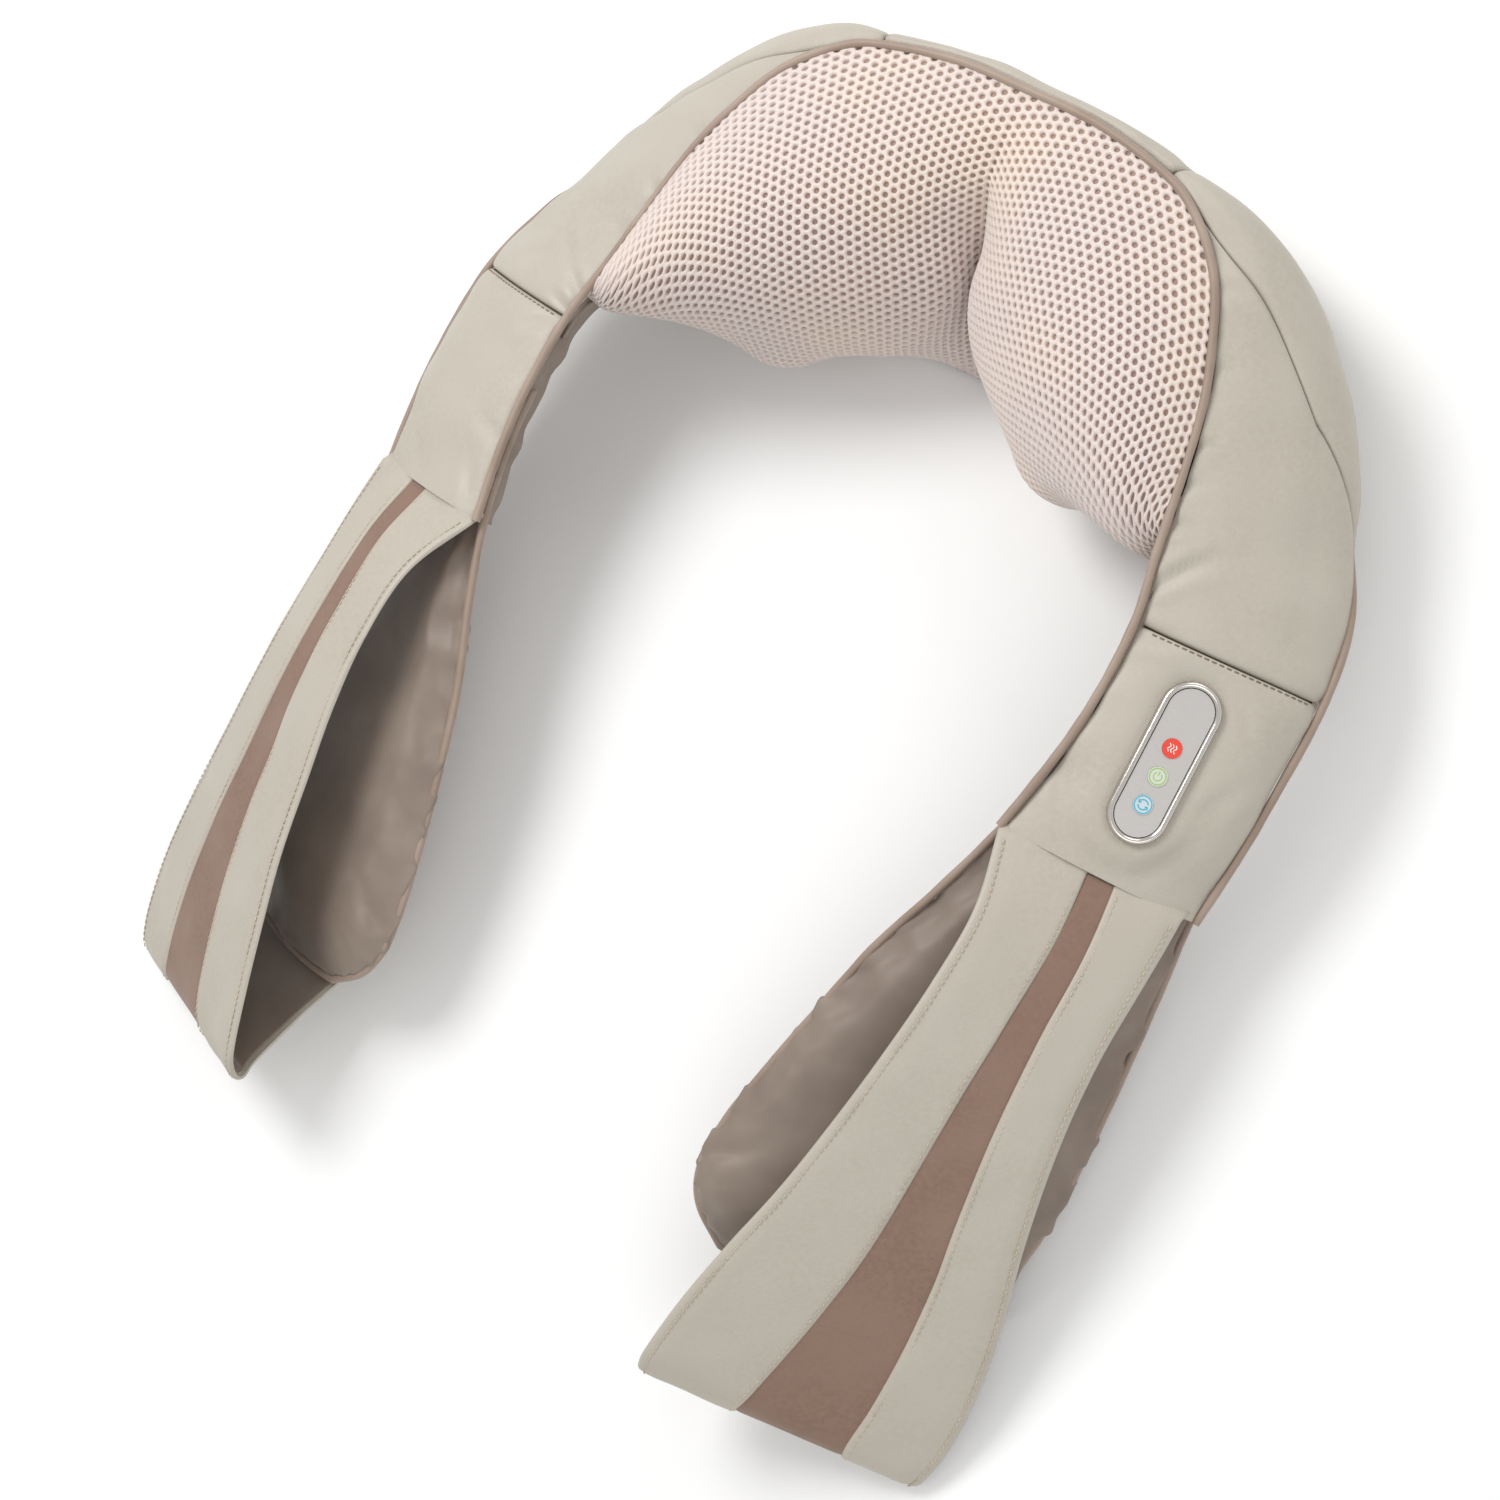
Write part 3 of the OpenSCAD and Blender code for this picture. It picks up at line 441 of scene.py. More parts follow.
def satin_look(name, light, dark, roughness=(0.36, 0.5)):
    """Tightly woven satin lining with a soft sheen."""
    look = Look(name, specular=0.45, sheen=0.25, sheen_roughness=0.4)
    tone = look.noise(30, 3)
    look.colour(look.blend(look.spread(tone, 0.35, 0.65), light, dark))
    look.roughness(look.noise(90, 3), *roughness)
    look.bump(look.weave(900, "DIAGONAL"), 0.00004, 0.6)
    look.bump(look.weave(1200, "X"), 0.00003, 0.5)
    look.bump(look.noise(70, 4), 0.0005, 0.3)
    return look.material


def plastic_look(name, light, dark, roughness=(0.35, 0.5), grain=1400, coat=0.0):
    """Moulded plastic with a fine spark-eroded grain."""
    look = Look(name, coat=coat)
    tone = look.noise(40, 3)
    look.colour(look.blend(look.spread(tone, 0.3, 0.7), light, dark))
    look.roughness(look.noise(300, 2), *roughness)
    look.bump(look.noise(grain, 2), 0.00003, 0.6)
    return look.material


def metal_look(name, light, dark, roughness=(0.2, 0.36), stretch=(1, 14, 1)):
    """Metal with fine drawn or brushed lines."""
    look = Look(name, metallic=1.0)
    lines = look.noise(400, 3, stretch)
    look.colour(look.blend(look.spread(lines, 0.3, 0.7), light, dark))
    look.roughness(lines, *roughness)
    look.bump(lines, 0.00001, 0.5)
    return look.material


def board_look(name):
    """Circuit board with green lacquer over paler copper tracks."""
    look = Look(name, coat=0.4)
    tracks = look.add("ShaderNodeTexBrick", scale=160, mortar_size=0.03)
    look.link(look.coordinates, tracks.inputs["Vector"])
    look.colour(look.blend(tracks.outputs["Fac"], (22, 92, 54), (52, 132, 74)))
    look.roughness(look.noise(200), 0.3, 0.45)
    look.bump(tracks.outputs["Fac"], 0.00004, 0.6)
    return look.material


def lamp_look(name):
    """Red lens of a heat lamp, deeper in its ribs."""
    look = Look(name, coat=0.6)
    look.colour(look.blend(look.spread(look.cells(500), 0.1, 0.6), (176, 30, 24), (120, 14, 12)))
    look.roughness(look.noise(300), 0.15, 0.25)
    look.bump(look.cells(700), 0.0001, 0.5)
    return look.material


def foam_look(name):
    """Open-cell foam."""
    look = Look(name)
    look.colour(look.blend(look.cells(600), (238, 232, 216), (214, 204, 184)))
    look.roughness(look.noise(300), 0.8, 0.95)
    look.bump(look.cells(900), 0.0003, 0.8)
    return look.material


def net_look(name, light, dark, warmth):
    """Knitted spacer fabric: pale strands with a pink cast that wanders over the cloth."""
    look = Look(name, specular=0.3, sheen=0.3, sheen_roughness=0.5)
    strands = look.noise(1700, 2)
    tone = look.blend(look.spread(strands, 0.35, 0.65), light, dark)
    look.colour(look.blend(look.spread(look.noise(14, 2), 0.45, 0.7), tone, warmth))
    look.roughness(strands, 0.55, 0.75)
    look.bump(strands, 0.00016, 0.7)
    return look.material


LEATHER = leather_look("leather", (177, 170, 158), (172, 165, 152))
STRIPE = leather_look("stripe", (131, 105, 90), (123, 97, 82))
SATIN = satin_look("satin_lining", (136, 122, 110), (122, 108, 97))
PIPING = satin_look("piping", (156, 138, 124), (140, 121, 107))
NET = net_look("air_mesh", (217, 205, 199), (201, 186, 180), (215, 199, 187))
# The backing's darker brownish-pink tone is painted shade: it copies the shade inside the net's holes.
SHADED_NET_BACK = net_look("air_mesh_back_painted_shade", (166, 144, 136), (148, 126, 118), (168, 144, 128))
THREAD = leather_look("pale_thread", (190, 178, 158), (168, 155, 136))
DARK_THREAD = leather_look("brown_thread", (122, 102, 86), (104, 86, 72))
CHROME = metal_look("chrome_trim", (214, 209, 203), (200, 195, 189), (0.12, 0.2))
FACE = metal_look("silver_face", (190, 186, 183), (181, 177, 174), (0.4, 0.5), (1, 20, 1))
FACE.node_tree.nodes["Principled BSDF"].inputs["Metallic"].default_value = 0.35
RED = plastic_look("red_button", (226, 66, 48), (214, 54, 40), (0.18, 0.28), coat=0.5)
GREEN_INK = plastic_look("green_ink", (150, 186, 106), (140, 176, 98), (0.3, 0.4))
BLUE_INK = plastic_look("blue_ink", (52, 166, 190), (44, 152, 178), (0.3, 0.4))
WHITE_INK = plastic_look("white_ink", (250, 232, 226), (244, 222, 216), (0.3, 0.4))
GREEN_CAP = plastic_look("green_button", (202, 206, 190), (194, 199, 182), (0.25, 0.35), coat=0.4)
BLUE_CAP = plastic_look("blue_button", (190, 204, 208), (182, 197, 202), (0.25, 0.35), coat=0.4)
BLACK = plastic_look("black_plastic", (34, 34, 36), (26, 26, 28), (0.35, 0.5))
JACKET = plastic_look("lead_jacket", (40, 40, 42), (30, 30, 32), (0.45, 0.6))
STEEL = metal_look("steel", (182, 184, 188), (160, 163, 168))
MOULDED = plastic_look("moulded", (214, 210, 202), (204, 200, 191))
HEAD = plastic_look("massage_head", (226, 220, 210), (216, 209, 198), (0.3, 0.42))
NYLON = plastic_look("gear_nylon", (236, 231, 214), (226, 219, 200), (0.4, 0.52))
CASE = plastic_look("gearbox_case", (70, 72, 76), (58, 60, 64), (0.4, 0.55))
LOOKS = {
    "leather": LEATHER, "stripe": STRIPE, "satin_lining": SATIN, "piping": PIPING, "air_mesh": NET,
    "foam": foam_look("foam"), "moulded": MOULDED, "massage_head": HEAD, "gear_nylon": NYLON,
    "steel": STEEL, "gearbox_case": CASE, "lamp": lamp_look("lamp"),
    "circuit_board": board_look("circuit_board"), "chrome_trim": CHROME, "silver_face": FACE,
    "red_button": RED, "green_button": GREEN_CAP, "blue_button": BLUE_CAP, "black_plastic": BLACK,
    "lead_jacket": JACKET,
}
for part in frame["record"]["subparts"]:
    node = frame["nodes"][part["node"]]
    for place in node.material_slots:
        place.material = LOOKS[part["material_slot"]]


# ---------------------------------------------------------------- control panel's place
def control_frame():
    """Rotation and origin of the control panel, in the rim frame."""
    turn = Matrix.Rotation(math.radians(23), 3, "Y") @ Matrix.Rotation(math.radians(-5.7), 3, "X")
    return np.array(turn), np.array([184, -215, -5.0])


CONTROL_TURN, CONTROL_AT = control_frame()
BEZEL_L, BEZEL_W = 70, 25
BUTTON_TOP = 1.8


def from_control(points):
    return np.asarray(points, float) @ CONTROL_TURN.T + CONTROL_AT


def to_control(points):
    return (points - CONTROL_AT) @ CONTROL_TURN


def stadium_distance(local, length, width):
    """Distance outside a stadium outline, negative inside."""
    y = np.maximum(np.abs(local[..., 1]) - (length - width) / 2, 0)
    return np.hypot(local[..., 0], y) - width / 2


# ---------------------------------------------------------------- leather panels
CORNER_R = 15


def crown(j):
    """How far the padding swells at a station: least at the back, full from the mesh end on."""
    return 2 + 4.5 * np.minimum(np.abs(j) / MESH_END, 1)


def skin(j, top, corner, skirt):
    """The collar's outer surface. j has one row per station and one column per place across,
    which run over the top, the rounded outer corner and the skirt."""
    outline = collar(j)
    rim, edge, foot = outline[..., RIM, :], outline[..., EDGE, :], outline[..., FOOT, :]
    out = unit(edge - rim)
    lean = np.array([0, 0, 1.0]) - out * out[..., 2:3]
    up = unit(lean)
    start = rim + out * (PIPING_R - 0.5)
    width = np.linalg.norm(edge - start, axis=-1, keepdims=True)
    drop = np.linalg.norm(foot - edge, axis=-1, keepdims=True)
    round_top = np.minimum(CORNER_R, 0.5 * width) / width
    round_side = np.minimum(CORNER_R, 0.4 * drop) / drop
    rise = crown(j)[..., None]
    whole = slice(None)

    def over(u, part=whole):
        swell = (up * rise)[:, part] * np.sin(math.pi * u) ** 0.8
        return start[:, part] + (edge - start)[:, part] * u + swell

    def down(v, part=whole):
        swell = unit(out * [1, 1, 0])[:, part] * (rise[:, part] * np.sin(math.pi * v) ** 0.9)
        return edge[:, part] + (foot - edge)[:, part] * v + swell

    n_top, n_corner = len(top), len(corner)
    grid = np.zeros(outline.shape[:-2] + (3,))
    part = slice(0, n_top)
    u = np.asarray(top)[None, :, None] * (1 - round_top[:, part])
    grid[:, part] = over(u, part)
    a, b = over(1 - round_top), down(round_side)
    control = edge + (out + up) * 2.2
    w = np.asarray(corner)[None, :, None]
    part = slice(n_top, n_top + n_corner)
    grid[:, part] = ((1 - w) ** 2 * a[:, part] + 2 * w * (1 - w) * control[:, part] + w ** 2 * b[:, part])
    part = slice(n_top + n_corner, None)
    v = np.asarray(skirt)[None, :, None]
    v = round_side[:, part] + v * (1 - round_side[:, part])
    grid[:, part] = down(v, part)
    return grid


# Creases pressed into the leather: ends in the rim plane, depth and width in mm, on the right
CREASES = {
    "right": [
        ((146, -158), (163, -131), 1.6, 2.4), ((150, -150), (172, -128), 0.7, 3.0),
        ((134, -100), (141, -94), 1.2, 2.2), ((137, -116), (147, -108), 1.1, 2.4),
        ((139, -131), (150, -127), 1.2, 2.4), ((126, -70), (134, -62), 0.8, 2.6),
        ((150, -176), (168, -168), 0.8, 3.2), ((170, -150), (196, -158), 0.5, 4.0),
        ((205, -190), (196, -176), 0.8, 3.0), ((150, -236), (166, -262), 0.8, 3.4),
        ((196, -258), (206, -238), 1.0, 3.4), ((206, -226), (214, -206), 0.8, 3.0),
        ((160, -180), (172, -190), 0.5, 3.2), ((110, -40), (122, -36), 0.7, 2.6),
    ],
    "left": [
        ((147, -160), (160, -150), 1.7, 2.2), ((150, -168), (164, -163), 1.5, 2.0),
        ((163, -148), (176, -136), 1.0, 2.6), ((140, -128), (152, -122), 1.1, 2.4),
        ((136, -106), (146, -98), 1.0, 2.4), ((158, -176), (170, -184), 0.9, 2.8),
        ((178, -150), (196, -156), 0.6, 3.6), ((150, -232), (166, -226), 0.6, 3.2),
        ((128, -78), (138, -70), 0.8, 2.6), ((150, -262), (160, -244), 0.8, 3.0),
        ((190, -262), (198, -244), 0.8, 3.0),
    ],
}


def creased(grid, side):
    """How far each point sinks into the creases of its side."""
    total = np.zeros(grid.shape[:-1])
    name = "right" if side > 0 else "left"
    flat = grid[..., :2] * [side, 1]
    for start, end, depth, width in CREASES[name]:
        start, end = np.array(start, float), np.array(end, float)
        way = end - start
        share = np.clip(((flat - start) @ way) / (way @ way), 0, 1)
        away = np.linalg.norm(flat - start - share[..., None] * way, axis=-1)
        fade = 0.25 + 0.75 * np.sin(math.pi * np.clip(share, 0.02, 1) ** 0.7)
        fold = np.exp(-(away / width) ** 2)
        bank = 0.45 * np.exp(-((away - 2 * width) / width) ** 2)
        total += depth * fade * (fold - bank)
    return total


FAR = 1000


def panel(start, end, steps, side, columns, hem):
    """A leather panel between two seams. Each is given by its stations at the rim, the outer
    edge, the end of the rounded corner and the foot. With a hem the last edge lies on top."""
    top, corner, skirt = columns
    middle = collar(np.array([start[1], end[1]], float))[:, EDGE]
    length = max(np.linalg.norm(middle[0] - middle[1]), 20)
    shares = clustered(steps, EDGE_ROWS, length)
    place = np.concatenate([top, 1 + np.asarray(corner), 2 + np.asarray(skirt)])
    first = np.interp(place, range(4), start)
    last = np.interp(place, range(4), end)
    j = first[None, :] + (last - first)[None, :] * shares[:, None]
    grid = skin(j, top, corner, skirt)
    grid[..., 0] *= side
    normals = grid_normals(grid) * side
    along, from_rim = lengths(grid, 0), lengths(grid, 1)
    from_end = along[-1:] - along + (FAR if hem else 0)
    from_seam = np.minimum(along, from_end)
    from_foot = from_rim[:, -1:] - from_rim
    sink = 2.0 * np.exp(-from_seam / 0.8) + 1.5 * np.exp(-from_seam / 7)
    sink += 1.0 * np.exp(-from_rim / 1.1) + 1.0 * np.exp(-from_rim / 7)
    sink += 1.5 * np.exp(-from_foot / 1.5)
    sink += 0.45 * waves(grid, 34, 3) * smooth_step(from_seam / 10)
    pucker = np.sin(along / 5.2 + 1.3 * waves(grid, 60, 5)) * np.exp(-from_rim / 8)
    sink += 0.35 * pucker * smooth_step(from_seam / 6)
    sink += creased(grid, side) * smooth_step(from_seam / 3)
    sink[0] += 4
    sink[-1] += 1.2 if hem else 4
    sink[:, [0, -1]] += 2.5
    return grid - normals * sink[..., None], normals


TOP_COLUMNS = np.array([0, 0.012, 0.025, 0.045, 0.07, 0.1] + list(np.linspace(0.14, 1, 26)))
CORNER_COLUMNS = np.linspace(0.1, 1, 9)
SKIRT_COLUMNS = np.array(list(np.linspace(0.05, 0.94, 12)) + [0.97, 1.0])
FULL = (TOP_COLUMNS, CORNER_COLUMNS, SKIRT_COLUMNS)
ARM = (TOP_COLUMNS, CORNER_COLUMNS, SKIRT_COLUMNS[:0])


LEATHER_T = 1.4
STITCH_ROW = 3


def make_panel(name, start, end, steps, side, columns, replaces, cut=None, shape=None, hem=False):
    outer, normals = panel(start, end, steps, side, columns, hem)
    if shape is not None:
        outer = shape(outer)
    keep = None
    if cut is not None:
        middle = (outer[1:, 1:] + outer[:-1, :-1]) / 2
        keep = ~cut(middle)
    obj = slab(name, outer, outer - normals * LEATHER_T, LEATHER, keep)
    settle(obj, replaces=replaces)
    return outer, normals


INLET_AT = np.array([-40, 4.5, -95])
INLET_HOLE_R, WELT_R = 7.2, 8.6


def inlet_distance(p):
    return np.hypot(p[..., 0] - INLET_AT[0], p[..., 2] - INLET_AT[2])


def on_back(p):
    return p[..., 1] > -30


def inlet_hole(p):
    return (inlet_distance(p) < INLET_HOLE_R) & on_back(p)


def round_inlet(grid):
    """Draws the leather in flat round the power inlet's flange."""
    share = smooth_step(1 - (inlet_distance(grid) - 9) / 12)
    grid = grid.copy()
    grid[..., 1] += (INLET_AT[1] - 1.3 - grid[..., 1]) * share * on_back(grid)
    return grid


def control_hole(p):
    return stadium_distance(to_control(p), BEZEL_L, BEZEL_W) < -1.4


def round_control(grid):
    """Flattens the leather round the control panel's bezel."""
    local = to_control(grid)
    outside = stadium_distance(local, BEZEL_L, BEZEL_W)
    share = smooth_step(1 - outside / 15)
    dip = -0.2 - 1.2 * np.exp(-np.maximum(outside, 0) / 1.5)
    local[..., 2] += (dip - local[..., 2]) * share
    return from_control(local)


BACK_STEPS, WEDGE_STEPS, SHOULDER_STEPS, ARM_STEPS = 70, 34, 90, 62
SEAM_B_LINE = (SEAM_B, SEAM_B_OUT, 6.9, 8.5)
make_panel("back_leather", [-SEAM_A] * 4, [SEAM_A] * 4, BACK_STEPS, 1, FULL, ["back_panel"],
           cut=inlet_hole, shape=round_inlet)
turn = np.linspace(0, 2 * math.pi, 48, endpoint=False)
ring = np.stack([WELT_R * np.cos(turn), np.full(48, -1.6), WELT_R * np.sin(turn)], -1) + INLET_AT
settle(tube("inlet_welt", ring, 1.6, LEATHER, closed=True))
seam_runs = []
for name, side in SIDES.items():
    make_panel(f"{name}_wedge_leather", [SEAM_A] * 4, SEAM_B_LINE, WEDGE_STEPS, side, FULL,
               [f"{name}_wedge_panel"])
    make_panel(f"{name}_shoulder_leather", SEAM_B_LINE, [SEAM_SHOULDER] * 4,
               SHOULDER_STEPS, side, FULL, [f"{name}_shoulder_panel", f"{name}_shoulder_foam"])
    control = {"cut": control_hole, "shape": round_control} if side > 0 else {}
    arm, arm_normals = make_panel(
        f"{name}_arm_leather", [SEAM_SHOULDER] * 4, [SEAM_STRAP] * 4, ARM_STEPS, side, ARM,
        [f"{name}_arm_panel", f"{name}_arm_foam"], hem=True, **control)
    row_points, row_normals = arm[STITCH_ROW, 5:-3], arm_normals[STITCH_ROW, 5:-3]
    seam_runs.append((row_points + row_normals * 0.1, row_normals))


settle(stitches("shoulder_seam_stitches", seam_runs, DARK_THREAD, pitch=3.2, length=2.2))

# ---------------------------------------------------------------- piping
rim_stations = np.linspace(-SEAM_STRAP, SEAM_STRAP, 420)
rim_path = collar(rim_stations)[:, RIM]
rim_radius = PIPING_R * (1 + 0.05 * waves(rim_path, 14, 8))
settle(tube("rim_piping_cord", rim_path, rim_radius, PIPING), replaces=["rim_piping"])


def corner_line(stations, place, side, out=0.6):
    """A line along the rounded outer corner of the collar."""
    grid = skin(np.stack([stations, stations], 1), [], [place, place], [])[:, 0]
    outline = collar(stations)
    away = unit((outline[:, EDGE] - outline[:, RIM]) * [1, 1, 0.3])
    return (grid + away * out) * [side, 1, 1]


for name, side in SIDES.items():
    stations = np.linspace(7.0, SEAM_STRAP, 130)
    start = smooth_step((stations - stations[0]) / 0.8)
    path = corner_line(stations, 0.97, side)
    path -= np.stack([side * 2.4 * (1 - start), 0 * start, 1.5 * (1 - start)], -1)
    radius = PIPING_R * (0.35 + 0.65 * start) * (1 + 0.05 * waves(path, 12, 9))
    settle(tube(f"{name}_outer_piping", path, radius, PIPING))


SIDE_T, UNDER_T = 1.2, 1.4


def lining(name, first, last, shares, facing, thickness, wander, sag=0, bow=0, replaces=()):
    """A strip of satin from one line to another. It hangs down by sag and bows out by bow in its
    middle, and wander is the height, length and seed of its waves."""
    band = first[:, None] + (last - first)[:, None] * shares[None, :, None]
    arch = np.sin(math.pi * np.minimum(shares, 1))
    band[..., 2] -= sag * arch
    normals = grid_normals(band) * facing
    band = band + normals * (bow * arch)[None, :, None]
    height, length, seed = wander
    band = band + normals * (height * waves(band, length, seed))[..., None]
    settle(slab(name, band, band - normals * thickness, SATIN), replaces=replaces)


for name, side in SIDES.items():
    stations = np.linspace(SEAM_SHOULDER - 0.04, SEAM_STRAP, 40)
    top = corner_line(stations, 0.9, side, -2.0)
    foot = collar(stations)[:, FOOT] * [side, 1, 1]
    lining(f"{name}_arm_side", top, foot, np.linspace(0, 1.05, 9), side, SIDE_T, (0.4, 16, 12), bow=1.6)
    outline = collar(np.linspace(MESH_END - 0.6, SEAM_STRAP, 50)) * [side, 1, 1]
    top = outline[:, RIM] + [side * 1.0, 0, -1.0]
    lining(f"{name}_arm_inside", top, outline[:, INNER_FOOT], np.linspace(0, 0.75, 7), -side, SIDE_T,
           (0.8, 14, 13))


# ---------------------------------------------------------------- underside
def make_base():
    stations = np.linspace(-SEAM_B, SEAM_B, 61)
    outline = collar(stations)
    shares = np.linspace(0.015, 0.985, 31)
    foot, inner_foot = outline[:, FOOT], outline[:, INNER_FOOT]
    across = foot[:, None] + (inner_foot - foot)[:, None] * shares[None, :, None]
    flat = row(across)
    from_foot = lengths(across, 1)
    edge = np.minimum(from_foot, from_foot[:, -1:] - from_foot)
    quilt = 0.25 * np.cos(flat[..., 0] * 2 * math.pi / 0.03) * np.cos(flat[..., 1] * 2 * math.pi / 0.03)
    low = flat.copy()
    low[..., 2] = (0.35 + quilt + 1.4 * np.exp(-edge / 1.5)) * MM
    high = flat.copy()
    high[..., 2] = 2.4 * MM
    verts = np.concatenate([high.reshape(-1, 3), low.reshape(-1, 3)])
    base = add_mesh("base_fabric", verts, solid_faces(*flat.shape[:2]), SATIN)
    settle(base, replaces=["pod_base"])


make_base()
for name, side in SIDES.items():
    outline = collar(np.linspace(SEAM_B - 0.05, MESH_END + 0.3, 60)) * [side, 1, 1]
    lining(f"{name}_under_satin", outline[:, INNER_FOOT], outline[:, FOOT], np.linspace(0.0, 0.99, 26), side,
           UNDER_T, (-0.5, 26, 21), sag=4, replaces=[f"{name}_under_panel"])

# ---------------------------------------------------------------- mesh cover
ROTOR_X, ROTOR_T, ORBIT_R, HEAD_R, HEAD_MIDDLE = 64, 84, 34, 20, 18
HEAD_X, HEAD_T = 21.9, 26
COVER_GAP, HEAD_BUMP = 9.5, 12.5
# Middles and radius of the two low bulges at the cover's front edge
LOW_BULGES = [(-86, 129, 34), (72, 121, 37)]
LOW_BULGE_R = 31
COVER_ENDS = [-8.5, 0, 7.8]
RELAX_ROUNDS, RELAX_PUSH, FLATTEN_ROUNDS = 1000, 0.05, 900
# Height of the fold down the middle of the cover at places down the slope
VALLEY = np.array([[0, 0], [15, 14], [32, 22], [71, 18], [121, 9], [144, 3], [156, 0.7]], float)


def bumps():
    """Centres, flat radii and reaches of the rounded discs and balls that hold the cover out."""
    for x in (-ROTOR_X, ROTOR_X):
        yield (x, ROTOR_T, HEAD_MIDDLE), ORBIT_R, HEAD_R + COVER_GAP
        for side in (-1, 1):
            head = (x + side * math.copysign(HEAD_X, x), ROTOR_T + side * HEAD_T, HEAD_MIDDLE)
            yield head, 0, HEAD_R + HEAD_BUMP
    for middle in LOW_BULGES:
        yield middle, 0, LOW_BULGE_R


def over_heads(p):
    """Points of the slope frame lifted straight out over the space that the heads sweep."""
    p = p.copy()
    for (x, t, w), flat_r, reach in bumps():
        r = np.maximum(np.linalg.norm(p[..., :2] - [x, t], axis=-1) - flat_r, 0)
        top = w + np.sqrt(np.maximum(reach ** 2 - r ** 2, 0))
        p[..., 2] = np.where(r < reach, np.maximum(p[..., 2], top), p[..., 2])
    return p


def clear_of_heads(p):
    """Points of the slope frame pushed out of the space that the massage heads sweep."""
    for (x, t, w), flat_r, reach in bumps():
        d = p[..., :2] - [x, t]
        r = np.linalg.norm(d, axis=-1)
        out = unit(d) * np.maximum(r - flat_r, 0)[..., None]
        away = np.concatenate([out, p[..., 2:] - w], -1)
        size = np.linalg.norm(away, axis=-1)
        p = p + unit(away) * np.where(size < reach, reach - size, 0)[..., None]
    return p


def cover_surface():
    """The stretched cover: a skin between the rim and the foot that rests on the heads' space."""
    columns, rows = 121, 71
    j = np.interp(np.arange(columns), [0, columns // 2, columns - 1], COVER_ENDS)
    outline = to_slope(collar(j))
    rim, foot = outline[:, RIM], outline[:, INNER_FOOT]
    q = np.linspace(0, 1, rows)
    p = rim[:, None] + (foot - rim)[:, None] * q[None, :, None]
    lift = 20 * np.sin(math.pi * q[None, :]) ** 0.6 * np.maximum(1 - np.abs(j[:, None]) / 7, 0.1)
    p[..., 2] += lift
    p[:, 0], p[:, -1] = rim, foot
    p[:, 1:-1] = over_heads(p[:, 1:-1])
    middle = columns // 2
    share = np.linspace(0, 1, rows)
    along = share * VALLEY[-1][0]
    fold = np.stack([np.zeros(rows), along, np.interp(along, VALLEY[:, 0], VALLEY[:, 1])], -1)
    fold += (foot[middle] - fold[-1]) * (share ** 3)[:, None]
    p[middle] = fold
    ends = p[[0, -1]].copy()
    for _ in range(RELAX_ROUNDS):
        inner = (p[:-2, 1:-1] + p[2:, 1:-1] + p[1:-1, :-2] + p[1:-1, 2:]) / 4
        inner[..., 2] += RELAX_PUSH
        p[1:-1, 1:-1] = clear_of_heads(inner)
        p[middle] = fold
        p[[0, -1]] = ends
    return p


def flattened(p):
    """Flat cloth coordinates for a surface: each cell keeps its own shape as nearly as it can."""
    middle = p.shape[0] // 2
    across = lengths(p, 0)
    flat = np.stack([across - across[middle:middle + 1], lengths(p, 1)], -1)
    corners = [(slice(0, -1), slice(0, -1)), (slice(1, None), slice(0, -1)),
               (slice(1, None), slice(1, None)), (slice(0, -1), slice(1, None))]
    cell = np.stack([p[c] for c in corners])
    cell = cell - cell.mean(0)
    first = unit(cell[1] + cell[2] - cell[0] - cell[3])
    square = unit(np.cross(cell[2] - cell[0], cell[3] - cell[1]))
    second = np.cross(square, first)
    shape = np.stack([(cell * first).sum(-1), (cell * second).sum(-1)], -1)
    count = np.zeros(p.shape[:2])
    for c in corners:
        count[c] += 1
    for _ in range(FLATTEN_ROUNDS):
        now = np.stack([flat[c] for c in corners])
        centre = now.mean(0)
        now = now - centre
        along = (shape * now).sum((0, -1))
        turned = (shape[..., 0] * now[..., 1] - shape[..., 1] * now[..., 0]).sum(0)
        size = np.maximum(np.hypot(along, turned), 1e-9)
        cos, sin = along / size, turned / size
        total = np.zeros_like(flat)
        for c, own in zip(corners, shape):
            total[c] += centre + np.stack([cos * own[..., 0] - sin * own[..., 1],
                                           sin * own[..., 0] + cos * own[..., 1]], -1)
        flat = total / count[..., None]
    return flat


PITCH = 4.3
HOLE_R = 1.18
HOLE_FLARE, FLARE_DEPTH = 1.18, 0.12
NET_T, BACKING_T = 1.5, 0.6


